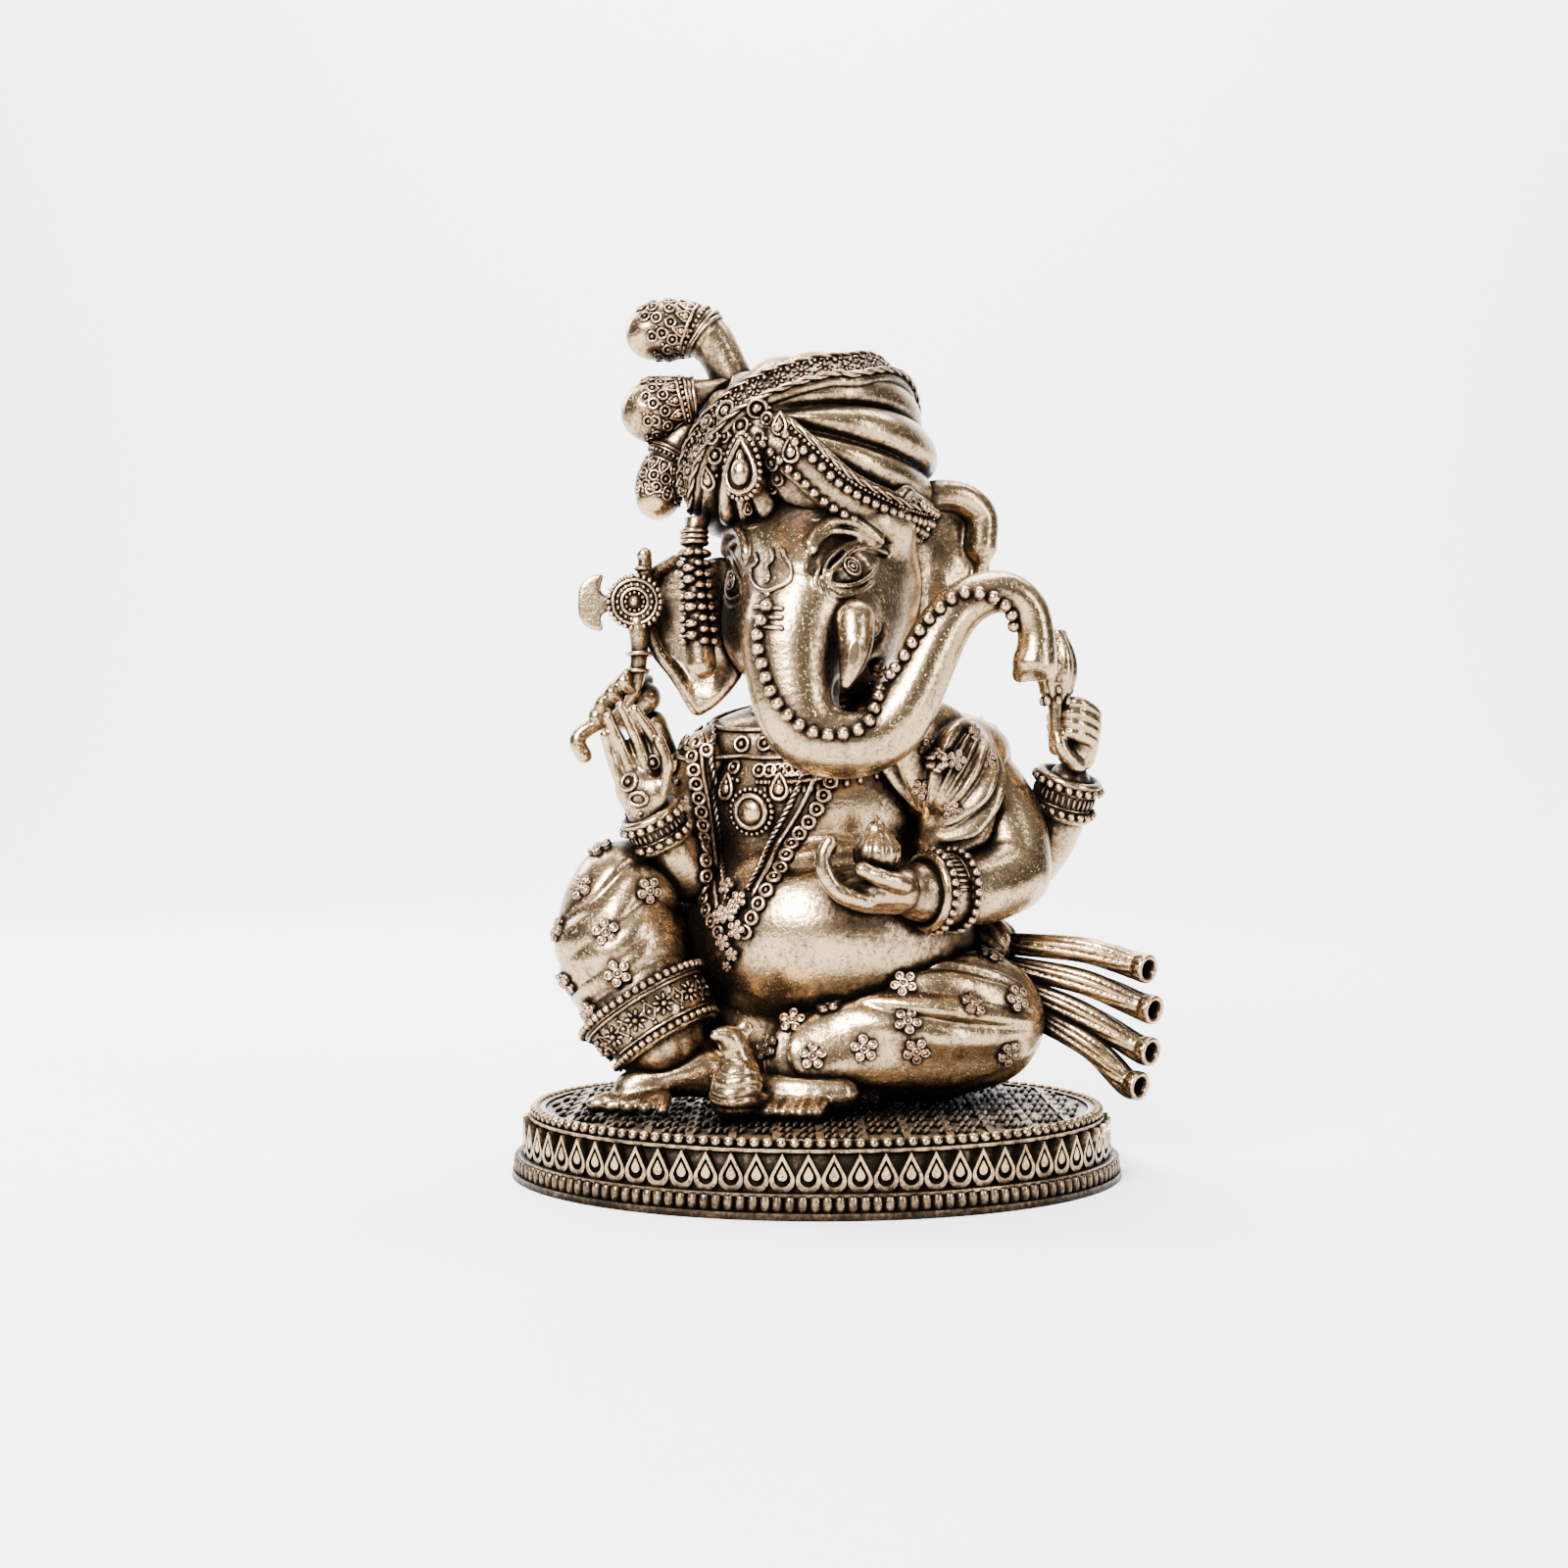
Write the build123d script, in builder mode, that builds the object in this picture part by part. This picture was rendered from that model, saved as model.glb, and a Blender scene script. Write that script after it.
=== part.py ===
"""A seated elephant-headed deity statuette: gilded metal castings soldered together on an oval plinth.

Frame: +Z up, -Y towards the viewer, +X to the viewer's right, origin at the centre of the plinth's
underside. "Left" and "right" in the names are the figure's own, so its left is at +X, and its head
is turned towards its own right. All sizes are in millimetres.
"""

from build123d import *
from math import asin, atan2, cos, degrees, hypot, pi, radians, sin
import os

# Plinth
base_length = 86.0
base_depth = 66.0
base_height = 9.3
rim_height = 0.9              # plain foot rim under the lower beads
lower_shelf = 2.8             # top of the band that holds the lower beads
drop_shelf = 3.15             # the teardrops stand on this fillet
upper_shelf = 8.0             # underside of the fillet that carries the upper beads
weave_thickness = 1.2         # woven panel, let into the plinth's top
weave_relief = 0.35
lower_bead_count = 150
upper_bead_count = 132
teardrop_count = 70
bead_radius = 0.75

# Head and turban
head_turn = 28.0
head_centre = Vector(1.4, 2.0, 83.5)
head_radii = (13.6, 14.5, 16.0)
turban_centre = Vector(-0.7, 3.0, 100.6)
turban_radii = (18.4, 18.4, 16.4)
turban_rim = 91.0             # level of the turban's lower edge
band_lift = 1.5               # the jewelled bands stand this far off the cloth

# Sash tails
tail_radius = 2.2
tail_bore_radius = 1.45
tail_bore_depth = 4.0

forward = Vector(-sin(radians(head_turn)), -cos(radians(head_turn)), 0)
head_side = Vector(cos(radians(head_turn)), -sin(radians(head_turn)), 0)   # the head's own left
up = Vector(0, 0, 1)


# ---------------------------------------------------------------- shapes added to the part in hand


def ellipsoid(centre, radii, turn=(0, 0, 0)):
    """Adds an ellipsoid, turned about its own centre."""
    ball = Sphere(1, mode=Mode.PRIVATE)
    with Locations(Location(Vector(centre), turn)):
        add(scale(ball, by=radii, mode=Mode.PRIVATE))


def bar(start, end, radius):
    """Adds a round bar with round ends."""
    axis = Vector(end) - Vector(start)
    with BuildSketch(Plane(origin=start, z_dir=axis)) as section:
        Circle(radius)
    extrude(section.sketch, amount=axis.length)
    with Locations(start, end):
        Sphere(radius)


def limb(points, radii, sections=9, round_ends=True):
    """Adds a tapering round limb along a smooth line, with a radius for each of its points."""
    spans = [(Vector(b) - Vector(a)).length for a, b in zip(points, points[1:])]
    reached = [sum(spans[:i]) / sum(spans) for i in range(len(points))]
    with BuildLine() as path:
        Spline(*points)
    slices = []
    for i in range(sections):
        share = i / (sections - 1)
        span = next(k for k in range(len(spans)) if share <= reached[k + 1] + 1e-9)
        part_way = (share - reached[span]) / (reached[span + 1] - reached[span])
        along = path.line % share
        plane = Plane(origin=path.line @ share, x_dir=Vector(0, 1, 0).cross(along), z_dir=along)
        with BuildSketch(plane) as section:
            Circle(radii[span] + part_way * (radii[span + 1] - radii[span]))
        slices.append(section.sketch.face())
    loft(slices)
    if round_ends:
        with Locations(points[0]):
            Sphere(radii[0])
        with Locations(points[-1]):
            Sphere(radii[-1])


def hoop(centre, axis, radius, wire):
    """Adds a ring of round wire about an axis."""
    with Locations(Plane(origin=centre, z_dir=axis).location):
        Torus(radius, wire)


def disc(centre, axis, radius, thickness):
    """Adds a round plate, centred on its axis."""
    with BuildSketch(Plane(origin=centre, z_dir=axis)) as section:
        Circle(radius)
    extrude(section.sketch, amount=thickness / 2, both=True)


def plate(plane, outline, thickness):
    """Adds a flat plate with a smooth closed outline."""
    with BuildSketch(plane) as section:
        with BuildLine():
            Spline(*outline, periodic=True)
        make_face()
    extrude(section.sketch, amount=thickness / 2, both=True)


def cuff(centre, axis, radius, height):
    """Adds a bracelet: a plain sleeve between two rings."""
    axis = Vector(axis).normalized()
    disc(centre, axis, radius + 0.3, height)
    for way in (-1, 1):
        hoop(Vector(centre) + axis * (height / 2 * way), axis, radius + 0.2, 0.75)


def oval_places(count, inset, height):
    """Evenly spaced places round the plinth, this far in from its foot, each facing outwards."""
    half_length = base_length / 2 - inset
    half_depth = base_depth / 2 - inset
    steps = 3000
    oval = []
    for i in range(steps + 1):
        angle = 2 * pi * i / steps
        oval.append((half_length * cos(angle), half_depth * sin(angle)))
    reached = [0.0]
    for (ax, ay), (bx, by) in zip(oval, oval[1:]):
        reached.append(reached[-1] + hypot(bx - ax, by - ay))
    places = []
    k = 0
    for i in range(count):
        while reached[k] < reached[-1] * i / count:
            k += 1
        x, y = oval[k]
        outward = degrees(atan2(y / half_depth**2, x / half_length**2))
        places.append(Location((x, y, height), (0, 0, outward + 90)))
    return places


# ---------------------------------------------------------------- plinth

# Each band of the wall runs from one height and inset to the next.
wall_bands = (
    (0, 0, rim_height, 0.1),
    (rim_height, 1.3, lower_shelf, 1.4),
    (lower_shelf, 0.8, drop_shelf, 0.85),
    (drop_shelf, 2.2, upper_shelf, 3.2),
    (upper_shelf, 2.4, upper_shelf + 0.4, 2.4),
    (upper_shelf + 0.4, 3.7, base_height, 3.8),
)
weave_inset = 4.6

with BuildPart() as base_plinth:
    for low, low_inset, high, high_inset in wall_bands:
        with BuildSketch(Plane.XY.offset(low)):
            Ellipse(base_length / 2 - low_inset, base_depth / 2 - low_inset)
        with BuildSketch(Plane.XY.offset(high)):
            Ellipse(base_length / 2 - high_inset, base_depth / 2 - high_inset)
        loft(ruled=True)
    with BuildSketch(Plane.XY.offset(base_height)):
        Ellipse(base_length / 2 - weave_inset, base_depth / 2 - weave_inset)
    extrude(amount=-weave_thickness, mode=Mode.SUBTRACT)
base_plinth.part.label = "base_plinth"

# Basket weave: raised straps across a thin plate.
with BuildPart() as base_woven_top:
    with BuildSketch(Plane.XY.offset(base_height - weave_thickness)):
        Ellipse(base_length / 2 - weave_inset, base_depth / 2 - weave_inset)
    extrude(amount=weave_thickness - weave_relief)
    with BuildSketch(Plane.XY.offset(base_height - weave_relief)):
        with GridLocations(5.6, 1, 13, 1):
            Rectangle(1.0, base_depth)
        Ellipse(base_length / 2 - weave_inset, base_depth / 2 - weave_inset, mode=Mode.INTERSECT)
    extrude(amount=weave_relief)
base_woven_top.part.label = "base_woven_top"

with BuildPart() as base_upper_beads:
    with Locations(*oval_places(upper_bead_count, 3.2, base_height - 0.3)):
        Sphere(bead_radius)
    add(base_plinth.part, mode=Mode.SUBTRACT)
base_upper_beads.part.label = "base_upper_beads"

# Upright barrel beads under the teardrops.
barrel_height = lower_shelf - rim_height
with BuildPart() as barrel_bead:
    for level, width in ((0, 0.78), (0.5, 1.0), (1, 0.78)):
        with BuildSketch(Plane.XY.offset(barrel_height * level)):
            Circle(bead_radius * width)
    loft()

with BuildPart() as base_lower_beads:
    with Locations(*oval_places(lower_bead_count, 0.95, rim_height)):
        add(barrel_bead.part)
    add(base_plinth.part, mode=Mode.SUBTRACT)
base_lower_beads.part.label = "base_lower_beads"

# Open teardrops, point up, each with a solid drop inside: a round foot with sides running to a point.
drop_height = upper_shelf - drop_shelf
drop_foot = 1.55              # radius of the round foot


def drop_outline(size, mode):
    """Adds one teardrop face, this much of full size, to the sketch in hand."""
    radius = drop_foot * size
    middle = radius - drop_height / 2 * size
    tip = drop_height / 2 * size
    tangent = degrees(asin(radius / (tip - middle)))
    with BuildLine() as outline:
        foot = CenterArc((0, middle), radius, 180 - tangent, 180 + 2 * tangent)
        Polyline(foot @ 1, (0, tip), foot @ 0)
    make_face(outline.edges(), mode=mode)


with BuildPart() as teardrop:
    with BuildSketch(Plane.XZ):
        drop_outline(1.0, Mode.ADD)
        drop_outline(0.70, Mode.SUBTRACT)
        drop_outline(0.38, Mode.ADD)
    extrude(amount=0.9, both=True)

with BuildPart() as base_teardrops:
    with Locations(*oval_places(teardrop_count, 2.4, (drop_shelf + upper_shelf) / 2)):
        add(teardrop.part)
    add(base_plinth.part, mode=Mode.SUBTRACT)
base_teardrops.part.label = "base_teardrops"


# ---------------------------------------------------------------- body, legs and cloth

with BuildPart() as torso:
    ellipsoid((1.8, 7.0, 33.5), (21.5, 18.0, 16.0))
    ellipsoid((1.6, 9.0, 52.0), (18.5, 13.0, 15.0))
    ellipsoid((1.0, 9.0, 60.0), (19.5, 9.5, 7.5))
    ellipsoid((2.0, 11.0, 20.0), (23.0, 15.0, 11.2))
    limb([(1.0, 7.0, 62), (1.6, 5.0, 72)], [9, 9], sections=2, round_ends=False)
torso.part.label = "torso"

# Raised knee in loose trousers, with the thigh running back to the hip.
with BuildPart() as right_leg:
    limb([(-27.0, 0.5, 38.5), (-27.6, -1, 32), (-25.0, -3, 24.5), (-22.0, -4, 18.5)], [8.4, 9.8, 8.6, 6.4])
    ellipsoid((-19.0, 9.0, 27.0), (13.0, 11.0, 12.0))
right_leg.part.label = "right_leg"

# Wide jewelled hem of the raised trouser leg.
hem_centre = Vector(-22.6, -3.8, 21.2)
hem_axis = Vector(0.52, -0.22, -0.82).normalized()
with BuildPart() as right_ankle_band:
    for step, radius in ((-3.4, 9.2), (0.0, 8.6), (3.4, 7.4)):
        with BuildSketch(Plane(origin=hem_centre + hem_axis * step, z_dir=hem_axis)):
            Circle(radius)
    loft()
    for step, radius in ((-3.2, 9.0), (3.2, 7.3)):
        hoop(hem_centre + hem_axis * step, hem_axis, radius, 0.8)
right_ankle_band.part.label = "right_ankle_band"

# Bare foot flat on the plinth, toes fanned to the figure's right.
with BuildPart() as right_foot:
    limb([(-15.5, -5.5, 14.5), (-20, -6.5, 14.6), (-25.5, -8.0, 12.6)], [3.6, 3.6, 2.6], sections=5)
    for i in range(5):
        bar((-25.0 + 1.1 * i, -8.4 - 0.6 * i, 11.9), (-30.6 + 2.4 * i, -9.6 - 1.2 * i, 10.6), 1.3 - 0.08 * i)
right_foot.part.label = "right_foot"

# Crossed leg lying flat, knee out to the figure's left.
with BuildPart() as left_leg:
    limb([(-1.5, -6.0, 16.5), (6, -4, 18.4), (15, -1, 20.6), (22.5, 2.5, 21.0)], [6.4, 8.8, 11.4, 10.4])
    ellipsoid((16, 9, 20), (17, 12, 10.5))
left_leg.part.label = "left_leg"

# Foot of the crossed leg, tucked under the other knee.
with BuildPart() as left_foot:
    limb([(3, -11.0, 12.4), (-3, -10.5, 12.6), (-9, -9.0, 12.2)], [2.8, 3.1, 2.4], sections=5)
    for i in range(5):
        bar((-7.5 + 2.0 * i, -12.0 - 0.4 * i, 11.6), (-9.0 + 2.2 * i, -15.2 - 0.3 * i, 10.6), 1.1)
left_foot.part.label = "left_foot"

# Draped cloth over the figure's left shoulder, falling down the back.
with BuildPart() as shawl:
    limb([(8, -1, 63), (15, -1, 59.5), (20, 0, 53), (19, -1, 46)], [4.5, 7.4, 7.6, 5.0])
    ellipsoid((21.5, 7.5, 56.0), (8.0, 9.5, 9.0))
    ellipsoid((6, 17.5, 46), (20, 7.5, 20))
shawl.part.label = "shawl"

# Knotted sash round the hips, from which the four tails hang.
with BuildPart() as sash_knot:
    limb([(12.0, 15.0, 37.5), (20.0, 11.5, 35.0), (26.5, 8.5, 31.5)], [4.6, 4.4, 3.6], sections=5)
sash_knot.part.label = "sash_knot"

# Each rolled tail runs from the knot, bends, and flares to an open mouth.
tail_roots = ((24.5, 9.5, 33.0), (25.0, 9.5, 31.2), (25.4, 9.5, 29.6), (25.6, 9.5, 28.0))
tail_bends = ((36.0, 5.5, 30.6), (36.0, 5.2, 26.6), (35.6, 5.0, 22.8), (35.0, 4.8, 19.2))
tail_mouths = ((47.6, -1.2, 28.2), (48.4, -1.4, 22.8), (47.9, -1.2, 16.8), (46.2, -1.0, 11.8))
sash_tails = []
for root, bend, mouth in zip(tail_roots, tail_bends, tail_mouths):
    outward = (Vector(mouth) - Vector(bend)).normalized()
    with BuildPart() as tail:
        limb([root, bend, mouth], [1.5, 1.6, tail_radius], round_ends=False)
        hoop(mouth, outward, tail_radius - 0.35, 0.45)
        with BuildSketch(Plane(origin=Vector(mouth) + outward, z_dir=outward)):
            Circle(tail_bore_radius)
        extrude(amount=-(tail_bore_depth + 1), mode=Mode.SUBTRACT)
    tail.part.label = f"sash_tail_{len(sash_tails) + 1}"
    sash_tails.append(tail)


# ---------------------------------------------------------------- head

with BuildPart() as head:
    ellipsoid(head_centre, head_radii)
    ellipsoid(head_centre + forward * 4.5 + up * 3.0, (10.8, 10.8, 9.6))
    ellipsoid(head_centre + forward * 5.5 - up * 3.0, (9.4, 9.4, 10.5))
    for way in (-1, 1):
        ellipsoid(head_centre + forward * 4.0 + head_side * 6.6 * way - up * 5.5, (6.8, 7.2, 9.0))
head.part.label = "head"

# Down over the chest, across to the figure's left, up, and over into a hooked, flared tip.
trunk_path = [
    (-1.6, -7.5, 80.5), (-3.0, -11.5, 71.5), (-1.9, -14.0, 64.0), (3.6, -15.0, 60.2), (9.6, -15.0, 61.8),
    (13.6, -14.5, 67.0), (18.2, -14.0, 75.4), (22.6, -13.5, 80.2), (27.4, -13.0, 79.4), (29.2, -13.0, 75.0),
    (29.4, -13.0, 71.6),
]
trunk_radii = [8.6, 6.6, 5.8, 4.8, 4.4, 4.0, 3.3, 2.9, 2.75, 2.7, 3.0]
with BuildPart() as trunk:
    limb(trunk_path, trunk_radii, sections=29)
trunk.part.label = "trunk"

with BuildPart() as left_tusk:
    limb([(4.8, -12.6, 77.0), (4.4, -16.0, 72.6), (3.4, -17.6, 67.4)], [2.1, 1.8, 0.6], sections=6)
left_tusk.part.label = "left_tusk"

eyes = []
for name, way in (("left_eye", 1), ("right_eye", -1)):
    look = forward * 0.755 + head_side * (0.656 * way)
    eye_turn = degrees(atan2(look.Y, look.X)) + 90
    with BuildPart() as eye:
        ellipsoid(head_centre + look * 14.6 + up * 1.0, (2.9, 1.7, 1.7), (0, 0, eye_turn))
    eye.part.label = name
    eyes.append(eye)

# Thin fanned ears, set back on the sides of the head.
with BuildPart() as left_ear:
    plate(
        Plane(origin=(15.5, 5.0, 84.0), x_dir=(0.94, 0.34, 0), z_dir=(0.34, -0.94, 0)),
        [(-3, 12), (4, 14.4), (9.0, 11.5), (9.6, 3.0), (6.0, -6.0), (0.5, -13.5), (-4, -10), (-5, 0)],
        2.0,
    )
left_ear.part.label = "left_ear"

with BuildPart() as right_ear:
    plate(
        Plane(origin=(-15.5, 3.5, 78.5), x_dir=(0.96, -0.28, 0), z_dir=(-0.28, -0.96, 0)),
        [(-5, 7.5), (-9.2, 4.4), (-7.2, -4.5), (-4.6, -8.4), (-2.2, -13.4), (4, -9.5), (7, 1), (3, 9)],
        2.0,
    )
right_ear.part.label = "right_ear"

# Hanging bundle of bead strings in front of the right ear.
with BuildPart() as right_tassel:
    limb([(-17.6, -2.6, 89), (-17.6, -3.4, 86), (-17.0, -4.0, 79), (-16.4, -4.0, 72.5)], [1.3, 2.3, 2.9, 3.1])
right_tassel.part.label = "right_tassel"

# Ridged band across the forehead, just under the turban.
with BuildPart() as forehead_band:
    for level in (90.2, 91.8, 93.4):
        share = (1 - ((level - head_centre.Z) / head_radii[2]) ** 2) ** 0.5
        hoop((head_centre.X, head_centre.Y, level) + forward * 1.5, up, head_radii[0] * share + 0.3, 0.95)
forehead_band.part.label = "forehead_band"


# ---------------------------------------------------------------- turban

with BuildPart() as turban:
    ellipsoid(turban_centre, turban_radii)
    with Locations((0, 0, turban_rim - 20)):
        Box(80, 80, 40, mode=Mode.SUBTRACT)
turban.part.label = "turban"


def turban_band(plane, width, keep_side):
    """Adds a band standing off the turban where a flat slab crosses it, on one side of its centre."""
    ellipsoid(turban_centre, tuple(radius + band_lift for radius in turban_radii))
    with BuildSketch(plane) as slab:
        Rectangle(90, 90)
    extrude(slab.sketch, amount=width / 2, both=True, mode=Mode.INTERSECT)
    with Locations((0, 0, turban_rim - 22)):
        Box(90, 90, 40, mode=Mode.SUBTRACT)
    split(bisect_by=Plane(origin=turban_centre, z_dir=keep_side), keep=Keep.TOP)


# From the right ear up the side and over the crown.
with BuildPart() as turban_crest_band:
    turban_band(Plane(origin=turban_centre + (0, -4.0, 0), z_dir=(0.34, -0.94, 0.12)), 6.4, (-0.8, 0, 0.9))
turban_crest_band.part.label = "turban_crest_band"

# From the brooch down to the left ear.
with BuildPart() as turban_left_band:
    turban_band(Plane(origin=(5, -16, 93.4), z_dir=(0.40, -0.19, 0.90)), 5.6, (0.80, -0.60, 0))
turban_left_band.part.label = "turban_left_band"

# Teardrop jewel between the bands, with its frame.
brooch_centre = turban_centre + forward * (turban_radii[0] + 0.4) - up * 3.0
with BuildPart() as turban_brooch:
    plate(
        Plane(origin=brooch_centre, x_dir=head_side, z_dir=forward),
        [(0, 4.4), (2.0, 1.0), (2.6, -1.6), (0, -4.2), (-2.6, -1.6), (-2.0, 1.0)],
        3.2,
    )
    ellipsoid(brooch_centre + forward * 1.4 - up * 0.8, (1.7, 1.4, 2.5), (0, 0, -head_turn))
turban_brooch.part.label = "turban_brooch"

# Cloth plumes: plain stems, a ringed neck and a fatter patterned cap.
plume_shapes = {
    "plume_upper": (
        [(-9, 6, 109.5), (-13.8, 6, 117.6), (-16.5, 6, 121.0), (-21.8, 6, 121.6), (-24.0, 6, 121.1)],
        [3.0, 3.1, 3.4, 4.3, 3.9],
    ),
    "plume_middle": (
        [(-11, 4, 110.8), (-15.5, 4, 110.7), (-18.5, 4, 110.2), (-23.4, 4, 109.2), (-24.0, 4, 109.0)],
        [3.0, 3.1, 3.6, 4.8, 4.4],
    ),
    "plume_lower": (
        [(-14.5, 4, 107), (-18.8, 4, 105.6), (-21.0, 4, 102.5), (-22.4, 4, 98.9), (-23.0, 4, 96.4)],
        [2.6, 2.7, 2.9, 3.5, 3.2],
    ),
}
plumes = []
for name, (path, radii) in plume_shapes.items():
    neck = Vector(path[2])
    along = (Vector(path[3]) - Vector(path[1])).normalized()
    with BuildPart() as plume:
        limb(path, radii, sections=11)
        for step in (-0.6, 0.6):
            hoop(neck + along * step, along, radii[2] - 0.1, 0.5)
    plume.part.label = name
    plumes.append(plume)


# ---------------------------------------------------------------- arms and hands

with BuildPart() as right_front_arm:
    limb([(-14.5, 7, 58.5), (-18.5, 5.5, 49), (-17.6, 1.5, 41.5)], [5.4, 4.8, 4.2])
    limb([(-17.6, 1.5, 41.5), (-20.6, -1.5, 45.5), (-23.6, -3.6, 50.8)], [4.2, 3.7, 3.0])
right_front_arm.part.label = "right_front_arm"

# Open palm raised to the viewer.
palm_z = 55.2
with BuildPart() as right_front_hand:
    ellipsoid((-25.2, -4.4, palm_z), (3.8, 1.9, 4.6), (0, -8, 0))
    limb([(-23.4, -3.6, 50.2), (-24.4, -4.2, 53.6)], [2.9, 2.9], sections=2)
    for base_x, tip_x, tip_z in ((-28.2, -29.2, 62.0), (-26.6, -28.6, 63.8), (-24.8, -27.0, 65.2), (-22.8, -25.2, 64.8)):
        bar((base_x, -4.7, 58.0), (tip_x, -4.9, tip_z), 1.12)
    bar((-22.4, -5.2, 53.0), (-20.9, -5.8, 57.2), 1.4)
    bar((-20.9, -5.8, 57.2), (-22.0, -5.8, 60.8), 1.1)
right_front_hand.part.label = "right_front_hand"

with BuildPart() as right_front_bracelet:
    cuff((-22.6, -3.0, 48.6), (-0.42, -0.30, 0.86), 3.6, 4.2)
right_front_bracelet.part.label = "right_front_bracelet"

with BuildPart() as left_front_arm:
    limb([(21.5, 6, 57), (27.0, 4, 49), (28.0, 0.5, 42.0)], [6.2, 6.2, 5.6])
    limb([(28.0, 0.5, 42.0), (22, -5.5, 39.8), (14.0, -10.5, 39.8)], [5.6, 4.9, 4.1])
left_front_arm.part.label = "left_front_arm"

# Cupped hand before the belly, fingers curling up.
with BuildPart() as left_front_hand:
    ellipsoid((7.6, -13.0, 39.4), (6.2, 4.8, 3.0), (0, 10, 28))
    for i in range(4):
        bar((3.6, -17.0 + 1.9 * i, 39.2), (1.0, -17.2 + 1.9 * i, 42.2), 1.3)
        bar((1.0, -17.2 + 1.9 * i, 42.2), (1.2, -16.6 + 1.9 * i, 46.4 - 0.3 * i), 1.15)
    bar((9.5, -17.0, 41.0), (5.4, -18.0, 42.6), 1.3)
left_front_hand.part.label = "left_front_hand"

with BuildPart() as left_front_bracelet:
    cuff((17.2, -8.6, 39.8), (-0.85, -0.52, 0), 4.7, 5.2)
left_front_bracelet.part.label = "left_front_bracelet"

with BuildPart() as right_back_arm:
    limb([(-12, 12, 56), (-17.5, 13.5, 52.0), (-20.5, 13.0, 50.0)], [5.0, 4.4, 3.6], sections=5)
    limb([(-20.5, 13.0, 50.0), (-22.0, 10.5, 56), (-23.6, 6.5, 64)], [3.6, 2.9, 1.9], sections=5)
right_back_arm.part.label = "right_back_arm"

# Fist round the axe handle.
with BuildPart() as right_back_hand:
    bar((-24.8, 4.8, 67.4), (-28.4, 4.6, 64.9), 2.4)
    for i in range(4):
        bar((-27.1 - 1.5 * i, 0.9, 70.1 - 1.8 * i), (-25.6 - 1.5 * i, 4.3, 68.3 - 1.8 * i), 1.1)
right_back_hand.part.label = "right_back_hand"

with BuildPart() as left_back_arm:
    limb([(21, 13, 55), (26.5, 13.0, 47.5), (30.5, 11.5, 42.5)], [5.4, 5.2, 4.9], sections=5)
    limb([(30.5, 11.5, 42.5), (34.8, 9, 48.0), (37.0, 6, 55)], [4.9, 4.3, 3.3], sections=5)
left_back_arm.part.label = "left_back_arm"

# Hand with finger and thumb pinching the lotus stem.
with BuildPart() as left_back_hand:
    ellipsoid((38.2, 5.0, 60.4), (3.0, 3.2, 5.0), (0, 8, 0))
    for i in range(4):
        bar((39.2 - 0.6 * i, 4.6, 62.4 + 1.1 * i), (34.9 - 0.3 * i, 1.6, 63.6 + 1.0 * i), 1.1)
    bar((37.4, 2.2, 57.4), (34.8, 0.9, 60.6), 1.15)
left_back_hand.part.label = "left_back_hand"

with BuildPart() as left_back_bracelet:
    cuff((36.5, 6.6, 53.4), (0.26, -0.30, 0.92), 4.0, 5.0)
left_back_bracelet.part.label = "left_back_bracelet"


# ---------------------------------------------------------------- things held, jewellery and mouse

# Sweet dumpling with a pointed top.
modak_centre = Vector(7.9, -13.6, 44.4)
with BuildPart() as modak:
    ellipsoid(modak_centre, (3.2, 3.2, 3.0))
    limb([modak_centre + up * 1.2, modak_centre + up * 3.4, modak_centre + up * 5.4], [2.7, 1.5, 0.5], sections=5)
modak.part.label = "modak"

axe_hub = Vector(-26.0, 1.6, 80.9)
with BuildPart() as axe:
    disc(axe_hub, (0, 1, 0), 3.8, 1.8)
    hoop(axe_hub - (0, 0.9, 0), (0, 1, 0), 2.4, 0.4)
    ellipsoid(axe_hub - (0, 0.9, 0), (1.1, 0.8, 1.1))
    bar(axe_hub + (1.2, 0, 3.0), axe_hub + (1.4, 0, 6.2), 1.1)
    plate(
        Plane(origin=axe_hub, x_dir=(1, 0, 0), z_dir=(0, -1, 0)),
        [(-3.6, 0.9), (-5.0, 2.4), (-4.6, 4.0), (-7.2, 3.4), (-8.3, 0), (-7.2, -3.4), (-4.6, -3.9), (-5.0, -2.2),
         (-3.6, -0.9)],
        1.2,
    )
    limb([axe_hub - (-0.4, 0, 3.0), (-25.4, 1.6, 74.5), (-25.8, 1.8, 70.5)], [1.6, 1.3, 1.2], sections=5)
    limb(
        [(-25.8, 1.8, 70.5), (-27.4, 1.8, 66.6), (-31.0, 1.4, 63.6), (-34.0, 0.8, 61.6), (-33.2, 0.6, 58.8)],
        [1.2, 1.1, 1.15, 1.2, 1.2],
        sections=11,
    )
axe.part.label = "axe"

lotus_foot = Vector(34.6, 1.6, 60.0)
with BuildPart() as lotus_bud:
    bar(lotus_foot, lotus_foot + (0, 0, 12), 1.2)
    for i in range(6):
        spoke = Vector(cos(radians(60 * i)), sin(radians(60 * i)), 0)
        limb(
            [lotus_foot + spoke + up * 7, lotus_foot + spoke * 1.9 + up * 11, lotus_foot + spoke * 0.8 + up * 16.8],
            [0.8, 1.3, 0.5],
            sections=5,
        )
lotus_bud.part.label = "lotus_bud"

# Broad jewelled collar lying on the chest.
with BuildPart() as collar_necklace:
    hoop((-1.5, 3.0, 62.0), (-0.15, -0.40, 1), 12.6, 2.2)
collar_necklace.part.label = "collar_necklace"

# Round faceted stone in a beaded frame, hung from the collar.
with BuildPart() as round_pendant:
    disc((-8.2, -5.2, 51.4), (-0.40, -0.90, 0.10), 4.0, 4.0)
round_pendant.part.label = "round_pendant"

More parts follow.
